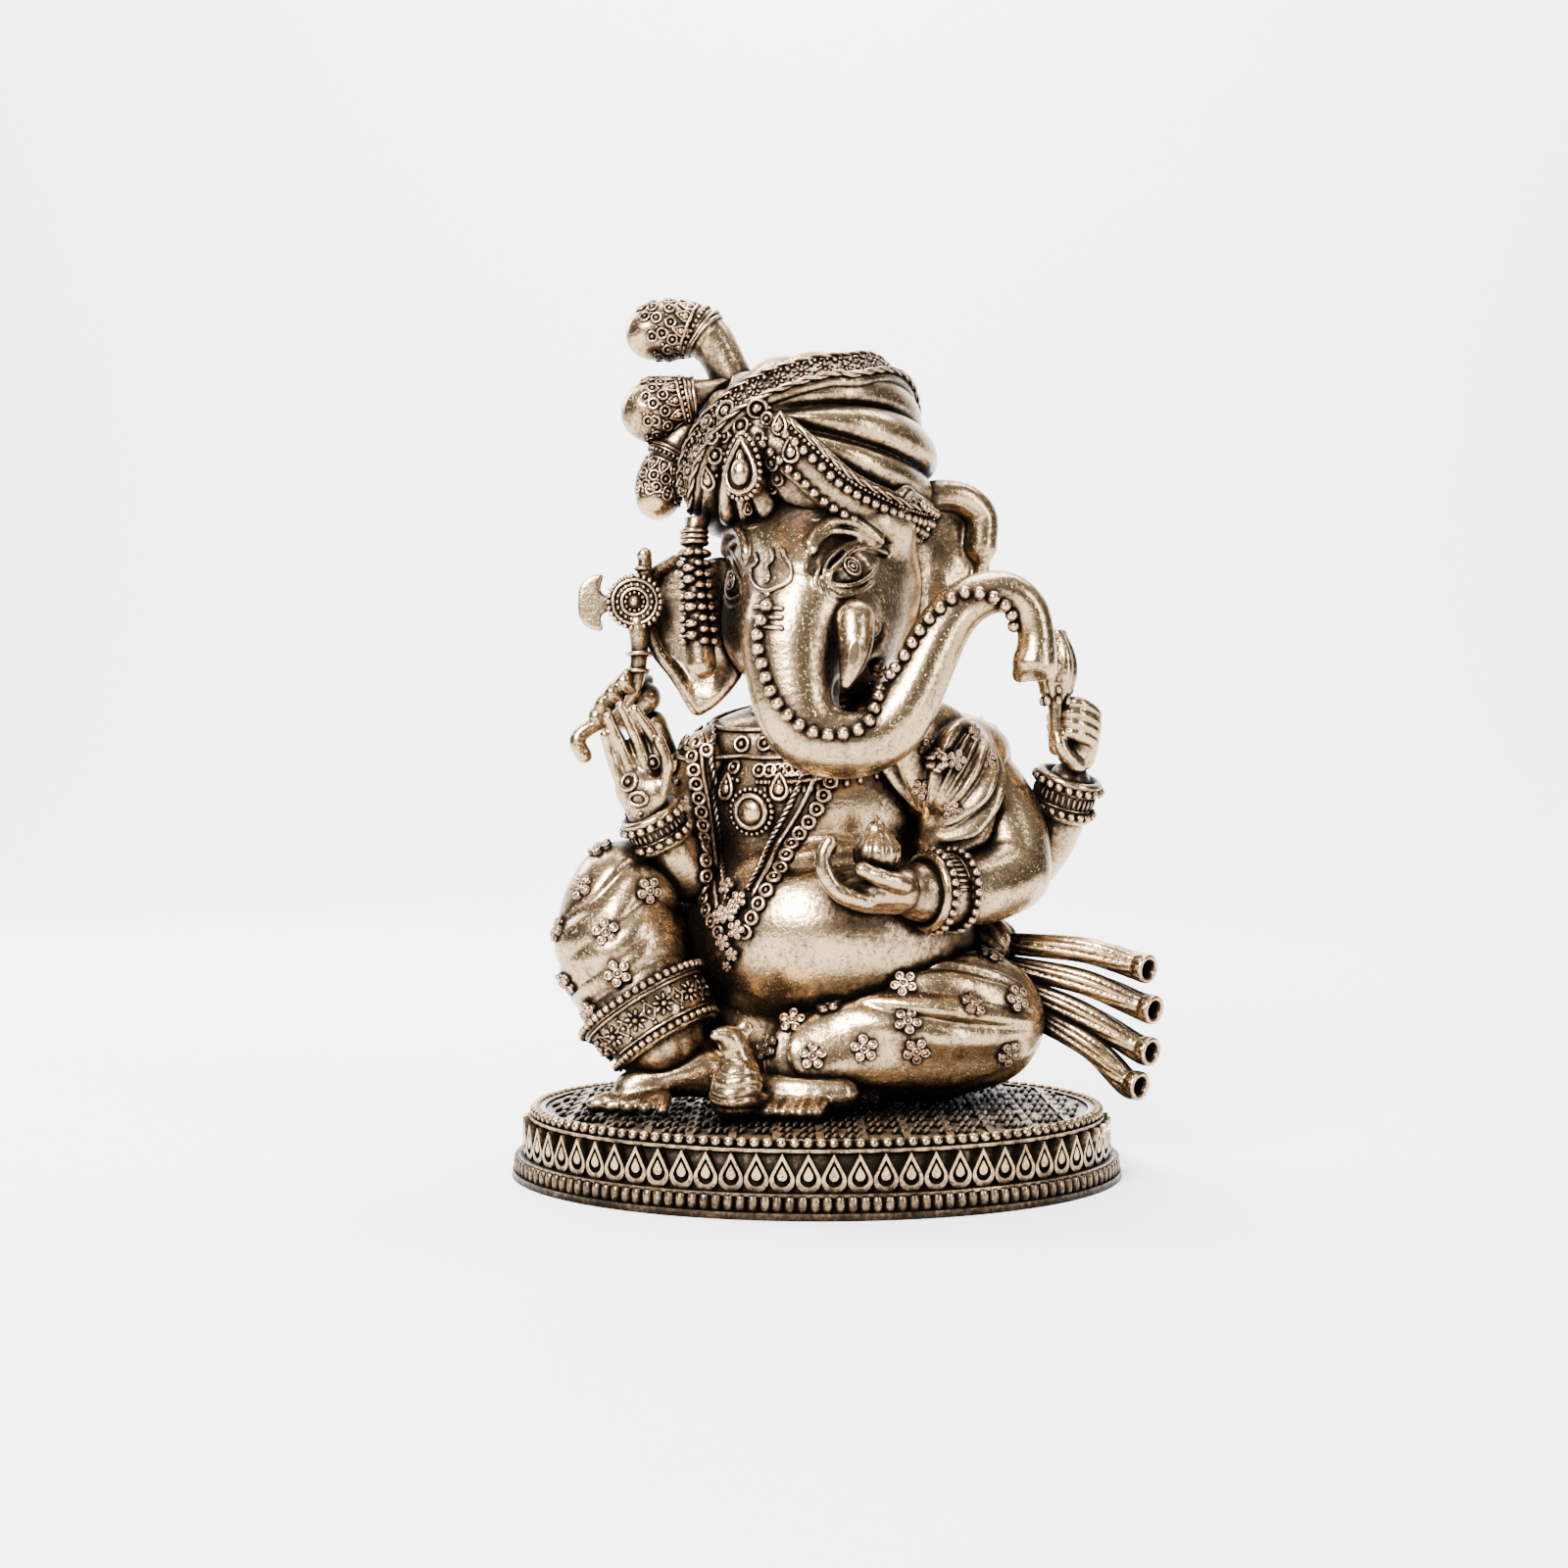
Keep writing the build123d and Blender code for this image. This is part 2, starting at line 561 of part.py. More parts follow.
# Two strands that meet low on the belly, and a flower-shaped drop where they meet.
right_strand = [(-14.5, 0.8, 62.5), (-16.4, -1.2, 55), (-14.0, -5.0, 47), (-12.9, -8.6, 39), (-12.4, -9.8, 35)]
left_strand = [(2.5, -4.6, 58), (1.0, -4.4, 53), (-3.0, -7.4, 45), (-7.5, -10.0, 39), (-10.8, -10.5, 35)]
with BuildPart() as long_necklace:
    for strand in (right_strand, left_strand):
        for start, end in zip(strand, strand[1:]):
            bar(start, end, 1.6)
long_necklace.part.label = "long_necklace"

with BuildPart() as necklace_pendant:
    plate(
        Plane(origin=(-11.8, -11.4, 33.2), x_dir=(0.86, -0.50, 0), z_dir=(-0.50, -0.86, 0)),
        [(0, 3.6), (2.2, 1.8), (2.6, -0.6), (1.0, -2.4), (0, -4.2), (-1.0, -2.4), (-2.6, -0.6), (-2.2, 1.8)],
        3.2,
    )
necklace_pendant.part.label = "necklace_pendant"

# The mouse at the deity's feet, its back to the viewer.
with BuildPart() as mouse:
    limb([(-11.2, -15.8, 12.8), (-10.8, -15.6, 15.4), (-11.0, -15.2, 18.0)], [3.5, 3.3, 2.2], sections=5)
    limb([(-11.0, -15.2, 18.6), (-12.2, -16.0, 20.6), (-13.6, -16.8, 21.0)], [2.0, 1.8, 0.9], sections=5)
    ellipsoid((-9.8, -15.4, 21.6), (1.3, 0.6, 1.4))
    ellipsoid((-13.4, -14.8, 22.0), (1.2, 0.6, 1.2))
mouse.part.label = "mouse"


# ---------------------------------------------------------------- soldering order

soldered = [
    torso, right_front_arm, left_front_arm, right_back_arm, left_back_arm, right_leg, left_leg,
    right_ankle_band, right_foot, left_foot, head, trunk, *eyes, left_tusk, turban, turban_crest_band,
    turban_left_band, turban_brooch, forehead_band, *plumes, left_ear, right_ear, right_tassel,
    right_front_hand, left_front_hand, axe, lotus_bud, right_back_hand, left_back_hand,
    right_front_bracelet, left_front_bracelet, left_back_bracelet, modak, shawl, sash_knot, *sash_tails,
    round_pendant, long_necklace, necklace_pendant, collar_necklace, mouse,
]


def reach_apart(a, b):
    """Whether two bounding boxes are clear of each other."""
    return any(
        low_a > high_b or low_b > high_a
        for low_a, high_a, low_b, high_b in zip(a.min, a.max, b.min, b.max)
    )


os.makedirs("parts", exist_ok=True)
for piece in (base_plinth, base_woven_top, base_upper_beads, base_lower_beads, base_teardrops):
    export_step(piece.part, f"parts/{piece.part.label}.step")

# Each casting is scribed to the ones soldered on before it, so that they meet face to face.
in_place = [base_plinth.part, base_woven_top.part]
for piece in soldered:
    box = piece.part.bounding_box()
    with BuildPart() as scribed:
        add(piece.part)
        for other in in_place:
            if not reach_apart(box, other.bounding_box()):
                add(other, mode=Mode.SUBTRACT)
    whole = Compound(children=[s for s in scribed.part.solids() if s.volume > 0.03 * scribed.part.volume])
    whole.label = piece.part.label
    in_place.append(whole)
    export_step(whole, f"parts/{whole.label}.step")
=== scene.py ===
from functools import cache
from math import cos, pi, radians, sin

import bpy
import numpy as np
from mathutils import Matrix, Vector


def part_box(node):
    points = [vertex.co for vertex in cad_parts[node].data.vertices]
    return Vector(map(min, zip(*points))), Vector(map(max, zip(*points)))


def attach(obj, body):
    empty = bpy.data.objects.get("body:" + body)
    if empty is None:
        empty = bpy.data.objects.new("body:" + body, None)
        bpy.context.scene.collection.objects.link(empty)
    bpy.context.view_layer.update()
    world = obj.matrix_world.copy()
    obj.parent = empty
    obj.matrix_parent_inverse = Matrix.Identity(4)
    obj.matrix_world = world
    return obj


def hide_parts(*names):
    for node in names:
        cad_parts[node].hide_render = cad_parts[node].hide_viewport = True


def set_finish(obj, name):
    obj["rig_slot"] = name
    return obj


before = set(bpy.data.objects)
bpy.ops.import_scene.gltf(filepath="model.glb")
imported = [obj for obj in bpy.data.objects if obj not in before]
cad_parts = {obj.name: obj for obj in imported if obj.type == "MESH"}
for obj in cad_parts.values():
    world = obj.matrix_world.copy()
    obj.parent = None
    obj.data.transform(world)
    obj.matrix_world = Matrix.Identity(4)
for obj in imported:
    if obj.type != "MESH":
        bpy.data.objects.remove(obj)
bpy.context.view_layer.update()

import openvdb
from mathutils import Vector
from mathutils.bvhtree import BVHTree

MM = 0.001
FINE = 0.22         # voxel size for faces and hands
MEDIUM = 0.30       # voxel size for bodies and cloth
FAR = 4.0           # distance that stands for "nowhere near", in millimetres
BAND = 1.8          # distances to a CAD node are worked out this far from its surface
pieces = {}


# ---------------------------------------------------------------- places, from the CAD nodes


@cache
def node_box(name):
    """A CAD node's lowest and highest corners, in millimetres."""
    low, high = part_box(name)
    return np.array(low) / MM, np.array(high) / MM


def at(name, across, back, upwards):
    """A point in a node's box, by its shares of the way right, back and up."""
    low, high = node_box(name)
    return low + (high - low) * np.array([across, back, upwards])


def triangles(obj):
    """An object's corner points in millimetres and its triangles."""
    mesh = obj.data
    mesh.calc_loop_triangles()
    points = np.empty(len(mesh.vertices) * 3, np.float32)
    mesh.vertices.foreach_get("co", points)
    faces = np.empty(len(mesh.loop_triangles) * 3, np.int32)
    mesh.loop_triangles.foreach_get("vertices", faces)
    return points.reshape(-1, 3) / MM, faces.reshape(-1, 3)


def unit(vector):
    """The same direction, one long; a vector of no length stays as it is."""
    vector = np.asarray(vector, float)
    return vector / (np.linalg.norm(vector) + 1e-9)


def length(x, y, z):
    return np.sqrt(x**2 + y**2 + z**2)


# ---------------------------------------------------------------- clay: a block of signed distances


def blended(first, second, reach):
    """The union of two distance fields, with a fillet of about that reach."""
    if reach <= 0:
        return np.minimum(first, second)
    share = np.clip(0.5 + 0.5 * (second - first) / reach, 0, 1)
    return second + (first - second) * share - reach * share * (1 - share)


class Clay:
    """A block of voxels that holds signed distances to a shape's surface, in millimetres."""

    def __init__(self, low, high, voxel=MEDIUM):
        self.voxel = voxel
        self.first = np.floor((np.array(low) - 2.0) / voxel).astype(int)
        count = np.ceil((np.array(high) + 2.0) / voxel).astype(int) - self.first + 1
        self.axes = [(self.first[i] + np.arange(count[i])) * voxel for i in range(3)]
        self.field = np.full(tuple(count), FAR, np.float32)

    def window(self, low, high):
        """The part of the block round a box: its slices and its point coordinates."""
        cut = []
        for i in range(3):
            start = int(np.searchsorted(self.axes[i], low[i]))
            stop = int(np.searchsorted(self.axes[i], high[i]))
            cut.append(slice(start, max(stop, start)))
        x = self.axes[0][cut[0]][:, None, None].astype(np.float32)
        y = self.axes[1][cut[1]][None, :, None].astype(np.float32)
        z = self.axes[2][cut[2]][None, None, :].astype(np.float32)
        return tuple(cut), x, y, z

    def everywhere(self):
        return self.window([a[0] - 1 for a in self.axes], [a[-1] + 1 for a in self.axes])

    def merge(self, cut, distance, fillet, take_away=False):
        old = self.field[cut]
        if take_away:
            self.field[cut] = -blended(-old, distance, fillet)
        else:
            self.field[cut] = blended(old, distance, fillet)

    def node(self, name, fillet=0.0):
        """Adds a CAD node's own shape."""
        points, faces = triangles(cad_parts[name])
        self.solid(points, faces, fillet)

    def solid(self, points, faces, fillet=0.0):
        width = BAND / self.voxel
        grid = openvdb.FloatGrid.createLevelSetFromPolygons(
            points,
            triangles=faces.astype(np.uint32),
            transform=openvdb.createLinearTransform(voxelSize=self.voxel),
            halfWidth=width,
        )
        shape = np.empty(self.field.shape, np.float32)
        grid.copyToArray(shape, ijk=tuple(int(i) for i in self.first))
        self.field = blended(self.field, shape, fillet)

    def ball(self, centre, radii, fillet=0.0, axes=None, take_away=False):
        """Adds an ellipsoid; axes are its own three directions, as rows."""
        centre = np.array(centre, float)
        radii = np.ones(3) * radii
        reach = radii.max() + fillet + 1.0
        cut, x, y, z = self.window(centre - reach, centre + reach)
        if self.field[cut].size == 0:
            return
        x, y, z = x - centre[0], y - centre[1], z - centre[2]
        if axes is not None:
            x, y, z = (a[0] * x + a[1] * y + a[2] * z for a in np.array(axes, float))
        a, b, c = radii
        first = length(x / a, y / b, z / c) + 1e-6
        second = length(x / a**2, y / b**2, z / c**2) + 1e-6
        self.merge(cut, (first * (first - 1) / second).astype(np.float32), fillet, take_away)

    def limb(self, points, radii, fillet=0.0, take_away=False):
        """Adds a round tapering rope through the points."""
        points = np.array(points, float)
        radii = np.ones(len(points)) * radii
        reach = radii.max() + fillet + 1.0
        cut, x, y, z = self.window(points.min(0) - reach, points.max(0) + reach)
        if self.field[cut].size == 0:
            return
        best = None
        for a, b, ra, rb in zip(points, points[1:], radii, radii[1:]):
            d = b - a
            px, py, pz = x - a[0], y - a[1], z - a[2]
            share = np.clip((px * d[0] + py * d[1] + pz * d[2]) / max(d @ d, 1e-9), 0, 1)
            away = length(px - share * d[0], py - share * d[1], pz - share * d[2]) - (ra + share * (rb - ra))
            best = away if best is None else np.minimum(best, away)
        self.merge(cut, best.astype(np.float32), fillet, take_away)

    def slab_off(self, point, normal, fillet=0.0):
        """Cuts away everything beyond a plane."""
        cut, x, y, z = self.everywhere()
        n = unit(normal)
        beyond = (x - point[0]) * n[0] + (y - point[1]) * n[1] + (z - point[2]) * n[2]
        self.field = -blended(-self.field, (-beyond).astype(np.float32), fillet)

    def soften(self, reach):
        """Rounds every edge and crease by averaging the field over about that reach."""
        size = max(1, int(round(reach / self.voxel)))
        for _ in range(2):
            self.field = box_average(self.field, size)

    def surface(self):
        """The shape's skin: points in millimetres and outward-facing faces."""
        grid = openvdb.FloatGrid()
        grid.background = FAR
        grid.copyFromArray(np.clip(self.field, -FAR, FAR), ijk=tuple(int(i) for i in self.first))
        grid.transform = openvdb.createLinearTransform(voxelSize=self.voxel)
        points, tris, quads = grid.convertToPolygons(isovalue=0.0, adaptivity=0.0)
        return points.tolist(), tris.tolist() + quads.tolist()

    def skin(self):
        return Skin(clay=self)

    def piece(self, name, replaced=()):
        """Makes the shape a visible piece that stands for the named CAD nodes."""
        return new_piece(name, *self.surface(), replaced)


def started(name, rounding, voxel=FINE):
    """A block that starts from a CAD node's own shape, with its edges softened."""
    clay = Clay(*node_box(name), voxel=voxel)
    clay.node(name)
    clay.soften(rounding)
    return clay


def box_average(field, size):
    """Averages a block over a cube of 2*size+1 voxels."""
    for axis in range(3):
        padding = [(0, 0)] * 3
        padding[axis] = (size + 1, size)
        padded = np.pad(field, padding, mode="edge").astype(np.float64)
        total = np.cumsum(padded, axis=axis)
        count = field.shape[axis]
        ahead = np.take(total, np.arange(2 * size + 1, 2 * size + 1 + count), axis=axis)
        behind = np.take(total, np.arange(count), axis=axis)
        field = ((ahead - behind) / (2 * size + 1)).astype(np.float32)
    return field


# ---------------------------------------------------------------- meshes


def new_piece(name, points, faces, replaced=(), material="antique_gold"):
    """A smooth-shaded object from points in millimetres, riding on the one body."""
    mesh = bpy.data.meshes.new(name)
    sizes = np.fromiter((len(f) for f in faces), np.int32, len(faces))
    mesh.vertices.add(len(points))
    mesh.vertices.foreach_set("co", (np.asarray(points, np.float32) * MM).ravel())
    mesh.loops.add(int(sizes.sum()))
    mesh.loops.foreach_set("vertex_index", np.concatenate([np.asarray(f, np.int32) for f in faces]))
    mesh.polygons.add(len(faces))
    mesh.polygons.foreach_set("loop_start", np.cumsum(sizes) - sizes)
    mesh.polygons.foreach_set("use_smooth", np.ones(len(faces), bool))
    mesh.update(calc_edges=True)
    obj = bpy.data.objects.new(name, mesh)
    bpy.context.scene.collection.objects.link(obj)
    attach(obj, "root")
    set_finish(obj, material)
    if replaced:
        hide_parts(*replaced)
    pieces[name] = obj
    return obj


class Ornaments:
    """Collects beads, rings, petals and other small shapes, and makes them one piece."""

    def __init__(self):
        self.points = []
        self.faces = []
        self.total = 0

    def add(self, points, faces):
        self.points.append(np.asarray(points, float))
        self.faces += [tuple(int(i) + self.total for i in f) for f in faces]
        self.total += len(points)

    def grid(self, points, close_rows, close_columns):
        """Adds a sheet of quads from points laid out in rows and columns."""
        rows, columns = points.shape[:2]
        faces = []
        for i in range(rows if close_rows else rows - 1):
            for j in range(columns if close_columns else columns - 1):
                i2, j2 = (i + 1) % rows, (j + 1) % columns
                faces.append((i * columns + j, i * columns + j2, i2 * columns + j2, i2 * columns + j))
        self.add(points.reshape(-1, 3), faces)

    def bead(self, centre, radii, axes=None, round_steps=12):
        """A ball or ellipsoid; axes are its three directions, as rows."""
        axes = np.eye(3) if axes is None else axes
        radii = np.ones(3) * radii
        polar = np.linspace(0.12, pi - 0.12, round_steps // 2 + 1)[:, None]
        turn = np.arange(round_steps)[None, :] * 2 * pi / round_steps
        local = np.stack(
            [np.sin(polar) * np.cos(turn), np.sin(polar) * np.sin(turn), np.cos(polar) + 0 * turn], axis=-1
        )
        points = (local * radii) @ axes + centre
        rows = len(polar)
        faces = []
        for i in range(rows - 1):
            for j in range(round_steps):
                j2 = (j + 1) % round_steps
                faces.append((i * round_steps + j, (i + 1) * round_steps + j, (i + 1) * round_steps + j2,
                              i * round_steps + j2))
        faces.append(tuple(range(round_steps)))
        faces.append(tuple((rows - 1) * round_steps + j for j in reversed(range(round_steps))))
        self.add(points.reshape(-1, 3), faces)

    def wire(self, points, radii, closed=False, sides=8, normals=None):
        """A round wire along a line, with flat ends where it is open."""
        points = np.asarray(points, float)
        radii = np.ones(len(points)) * radii
        if closed:
            ahead = np.roll(points, -1, axis=0) - np.roll(points, 1, axis=0)
        else:
            ahead = np.gradient(points, axis=0)
        ahead /= np.linalg.norm(ahead, axis=1)[:, None] + 1e-9
        if normals is None:
            rough = np.array([0.11, -0.93, 0.35])
            normals = rough - ahead * (ahead @ rough)[:, None]
        else:
            normals = np.asarray(normals, float)
            normals = normals - ahead * np.sum(ahead * normals, axis=1)[:, None]
        normals = normals / (np.linalg.norm(normals, axis=1)[:, None] + 1e-9)
        across = np.cross(ahead, normals)
        turn = np.arange(sides) * 2 * pi / sides
        rings = (
            points[:, None, :]
            + across[:, None, :] * (np.cos(turn)[None, :, None] * radii[:, None, None])
            + normals[:, None, :] * (np.sin(turn)[None, :, None] * radii[:, None, None])
        )
        start = self.total
        self.grid(rings, closed, True)
        if not closed:
            last = start + (len(points) - 1) * sides
            self.faces.append(tuple(start + j for j in reversed(range(sides))))
            self.faces.append(tuple(last + j for j in range(sides)))

    def piece(self, name, replaced=(), material="warm_gold_trim"):
        return new_piece(name, np.concatenate(self.points), self.faces, replaced, material)


def axes_on(normal, upright=(0, 0, 1)):
    """Three directions as rows: across, upright and out, with out along the normal."""
    out = unit(normal)
    tall = np.asarray(upright, float) - out * np.dot(upright, out)
    if np.linalg.norm(tall) < 1e-3:
        tall = np.array([1.0, 0, 0]) - out * out[0]
    tall = unit(tall)
    return np.stack([np.cross(tall, out), tall, out])


def spokes(axes, radius, count, upright=1.0):
    """Steps from a centre to evenly spaced points on a circle, or an oval, square to the last axis."""
    turn = np.arange(count) * 2 * pi / count
    return [axes[0] * radius * cos(t) + axes[1] * radius * upright * sin(t) for t in turn]


def ahead_at(found, k):
    """The way a line of points and normals runs at its k-th point."""
    return found[min(k + 1, len(found) - 1)][0] - found[max(k - 1, 0)][0]


def smooth_line(points, step):
    """Evenly spaced points on a smooth curve through the given ones (Catmull-Rom)."""
    points = np.asarray(points, float)
    padded = np.vstack([2 * points[0] - points[1], points, 2 * points[-1] - points[-2]])
    dense = []
    for i in range(1, len(padded) - 2):
        a, b, c, d = padded[i - 1 : i + 3]
        for t in np.linspace(0, 1, 24, endpoint=False):
            dense.append(0.5 * (2 * b + (c - a) * t + (2 * a - 5 * b + 4 * c - d) * t**2
                                + (3 * b - a - 3 * c + d) * t**3))
    dense = np.array(dense + [points[-1]])
    reached = np.concatenate([[0], np.cumsum(np.linalg.norm(np.diff(dense, axis=0), axis=1))])
    count = max(2, int(round(reached[-1] / step)) + 1)
    wanted = np.linspace(0, reached[-1], count)
    return np.stack([np.interp(wanted, reached, dense[:, i]) for i in range(dense.shape[1])], axis=1)


class Skin:
    """The surface of some pieces, for setting ornaments on."""

    def __init__(self, *names, clay=None):
        points, faces, total = [], [], 0
        for name in names:
            corner, tris = triangles(pieces[name])
            points += corner.tolist()
            faces += (tris + total).tolist()
            total += len(corner)
        if clay is not None:
            points, faces = clay.surface()
        self.tree = BVHTree.FromPolygons(points, faces)

    def hit(self, start, direction):
        """Where a ray first meets the surface: the point and the outward normal."""
        spot, normal, _, _ = self.tree.ray_cast(Vector(start), Vector(direction))
        if spot is None:
            past = Vector(start) + Vector(direction).normalized() * EYE_FAR
            spot, normal, _, _ = self.tree.find_nearest(past)
        normal = np.array(normal)
        if normal @ np.array(direction) > 0:
            normal = -normal
        return np.array(spot), normal

    def seen(self, node, across, upwards):
        """The point that the front view shows at these shares of a node's width and height."""
        low, high = node_box(node)
        target = np.array([low[0] + (high[0] - low[0]) * across, 0, low[2] + (high[2] - low[2]) * upwards])
        return self.hit(EYE, target - EYE)

    def line(self, node, shares, step):
        """Evenly spaced points and normals along a line drawn on the surface in the front view."""
        found = [self.seen(node, *share) for share in smooth_line(shares, 0.02)]
        spots = smooth_line([spot for spot, _ in found], step)
        return [self.nearest(spot) for spot in spots]

    def nearest(self, point):
        spot, normal, _, _ = self.tree.find_nearest(Vector(point))
        return np.array(spot), np.array(normal)


# ---------------------------------------------------------------- camera, light and floor

EYE = np.array([-4.6, -252.0, 50.0])
EYE_FAR = 245.0         # how far the statuette is from the camera
EYE_TILT = 91.08        # degrees from looking straight down
LENS = 40.5


def make_camera():
    data = bpy.data.cameras.new("camera")
    data.lens = LENS
    data.sensor_width = 36.0
    camera = bpy.data.objects.new("camera", data)
    camera.location = Vector(EYE * MM)
    camera.rotation_euler = (radians(EYE_TILT), 0, 0)
    bpy.context.scene.collection.objects.link(camera)
    bpy.context.scene.camera = camera


def area_light(name, place, target, size, power, on_floor=True):
    """A soft box; one kept off the floor shows only in the metal."""
    data = bpy.data.lights.new(name, "AREA")
    data.shape = "RECTANGLE"
    data.size, data.size_y = size
    data.energy = power
    light = bpy.data.objects.new(name, data)
    light.location = place
    light.visible_diffuse = on_floor
    light.rotation_euler = (Vector(target) - Vector(place)).to_track_quat("-Z", "Y").to_euler()
    bpy.context.scene.collection.objects.link(light)


def make_floor():
    """A pale floor that rises behind the statuette in one sweep."""
    depth = np.concatenate([np.linspace(-1.2, 0.7, 12), 0.7 + 0.5 * np.sin(np.linspace(0.1, pi / 2, 16))])
    height = np.concatenate([np.zeros(12), 0.5 * (1 - np.cos(np.linspace(0.1, pi / 2, 16)))])
    depth = np.append(depth, 1.2)
    height = np.append(height, 2.6)
    width = np.array([-2.2, 2.2])
    points = [(x, y, z) for y, z in zip(depth, height) for x in width]
    faces = [(2 * i, 2 * i + 1, 2 * i + 3, 2 * i + 2) for i in range(len(depth) - 1)]
    mesh = bpy.data.meshes.new("floor")
    mesh.from_pydata(points, [], faces)
    mesh.polygons.foreach_set("use_smooth", [True] * len(mesh.polygons))
    floor = bpy.data.objects.new("floor", mesh)
    bpy.context.scene.collection.objects.link(floor)
    material = bpy.data.materials.new("pale_floor")
    material.use_nodes = True
    shader = material.node_tree.nodes["Principled BSDF"]
    shader.inputs["Base Color"].default_value = (0.95, 0.95, 0.95, 1)
    shader.inputs["Roughness"].default_value = 0.85
    shader.inputs["Emission Color"].default_value = (1, 1, 1, 1)
    shader.inputs["Emission Strength"].default_value = 0.26
    mesh.materials.append(material)


def make_world():
    """A studio: pale overall, darker low down, so that the metal has something to reflect."""
    world = bpy.data.worlds.new("studio")
    bpy.context.scene.world = world
    world.use_nodes = True
    nodes, links = world.node_tree.nodes, world.node_tree.links
    background = nodes["Background"]
    where = nodes.new("ShaderNodeTexCoord")
    split = nodes.new("ShaderNodeSeparateXYZ")
    ramp = nodes.new("ShaderNodeValToRGB")
    shift = nodes.new("ShaderNodeMapRange")
    shift.inputs["From Min"].default_value = -1.0
    links.new(where.outputs["Generated"], split.inputs[0])
    links.new(split.outputs["Z"], shift.inputs["Value"])
    links.new(shift.outputs[0], ramp.inputs[0])
    stops = ramp.color_ramp.elements
    stops[0].position, stops[0].color = 0.40, (0.05, 0.05, 0.05, 1)
    stops[1].position, stops[1].color = 0.95, (1.0, 1.0, 1.0, 1)
    middle = stops.new(0.62)
    middle.color = (0.14, 0.14, 0.14, 1)
    links.new(ramp.outputs[0], background.inputs["Color"])
    background.inputs["Strength"].default_value = 0.6


# ---------------------------------------------------------------- materials


# Rubbed, dull and dark colours of each metal, and how rough it is where it is rubbed. The dark colour goes into
# the hollows: partly the patina the metal has there, partly painted shade.
METALS = {
    "antique_gold": ((0.42, 0.292, 0.158), (0.125, 0.081, 0.048), (0.018, 0.013, 0.009), 0.22),
    "warm_gold_trim": ((0.54, 0.355, 0.215), (0.19, 0.119, 0.072), (0.020, 0.014, 0.010), 0.23),
    "dark_weave": ((0.34, 0.25, 0.16), (0.11, 0.08, 0.055), (0.012, 0.009, 0.007), 0.35),
}
CREASE_PATINA_AND_SHADE = 0.0014         # width of the narrow gaps that hold the blackest patina and painted shade, in metres
HOLLOW_PATINA_AND_SHADE = 0.006          # width of the broad hollows that hold the rest of the patina and painted shade


def metal(name, bright, dull, dark, rough):
    """Antiqued metal: bright where it is rubbed, near black in the hollows, where the patina has stayed and
    where shade is painted in from occlusion.
    """
    material = bpy.data.materials.new(name)
    material.use_nodes = True
    nodes, links = material.node_tree.nodes, material.node_tree.links
    shader = nodes["Principled BSDF"]
    shader.inputs["Metallic"].default_value = 1.0
    place = nodes.new("ShaderNodeTexCoord")

    def noise(scale, detail, roughness=0.6):
        texture = nodes.new("ShaderNodeTexNoise")
        texture.inputs["Scale"].default_value = scale
        texture.inputs["Detail"].default_value = detail
        texture.inputs["Roughness"].default_value = roughness
        links.new(place.outputs["Object"], texture.inputs["Vector"])
        return texture.outputs["Fac"]

    def maths(kind, first, second):
        node = nodes.new("ShaderNodeMath")
        node.operation = kind
        for socket, value in zip(node.inputs, (first, second)):
            if isinstance(value, (int, float)):
                socket.default_value = value
            else:
                links.new(value, socket)
        return node.outputs[0]

    def ramp(value, stops):
        node = nodes.new("ShaderNodeValToRGB")
        links.new(value, node.inputs[0])
        elements = node.color_ramp.elements
        elements[0].position, elements[0].color = stops[0][0], (*stops[0][1], 1)
        elements[1].position, elements[1].color = stops[-1][0], (*stops[-1][1], 1)
        for position, colour in stops[1:-1]:
            elements.new(position).color = (*colour, 1)
        return node.outputs[0]

    def shelter(distance):
        """How much of the sky over a point is hidden by metal within this distance, in metres."""
        node = nodes.new("ShaderNodeAmbientOcclusion")
        node.samples = 8
        node.inputs["Distance"].default_value = distance
        return maths("SUBTRACT", 1.0, node.outputs["AO"])

    cloudy = noise(190, 3)
    grain = noise(1500, 2)
    spots = noise(2600, 1)
    # Darkness from occlusion: patina in the hollows together with painted shade wherever nearby metal hides the
    # sky.
    depth = maths("MULTIPLY", maths("ADD", shelter(CREASE_PATINA_AND_SHADE), shelter(HOLLOW_PATINA_AND_SHADE)), 0.75)
    depth = maths("ADD", depth, maths("MULTIPLY", maths("SUBTRACT", cloudy, 0.5), 0.60))
    depth = maths("ADD", depth, maths("MULTIPLY", maths("SUBTRACT", grain, 0.5), 0.60))
    pits = ramp(spots, ((0.64, (0, 0, 0)), (0.70, (1, 1, 1))))
    depth = maths("ADD", depth, maths("MULTIPLY", pits, 0.18))
    # Base colour from bright through dull to near black: rubbed metal, then patina and painted shade in the
    # hollows.
    colour = ramp(depth, ((-0.0, bright), (0.20, dull), (0.42, dark), (0.62, tuple(c * 0.3 for c in dark))))
    links.new(colour, shader.inputs["Base Color"])
    roughness = ramp(depth, ((0.05, (rough,) * 3), (0.40, (rough + 0.14,) * 3), (0.70, (0.70,) * 3)))
    links.new(roughness, shader.inputs["Roughness"])
    bump = nodes.new("ShaderNodeBump")
    bump.inputs["Strength"].default_value = 0.55
    bump.inputs["Distance"].default_value = 0.00012
    height = maths("ADD", maths("MULTIPLY", grain, 0.8), maths("MULTIPLY", pits, -0.8))
    height = maths("ADD", height, maths("MULTIPLY", cloudy, 1.4))
    links.new(height, bump.inputs["Height"])
    links.new(bump.outputs[0], shader.inputs["Normal"])
    return material


# ---------------------------------------------------------------- shared ornaments


def ring(ornaments, spot, axes, radius, wire, upright=1.0, count=16):
    """A small ring lying on a surface."""
    points = [spot + step for step in spokes(axes, radius, count, upright)]
    ornaments.wire(points, wire, closed=True, sides=6)


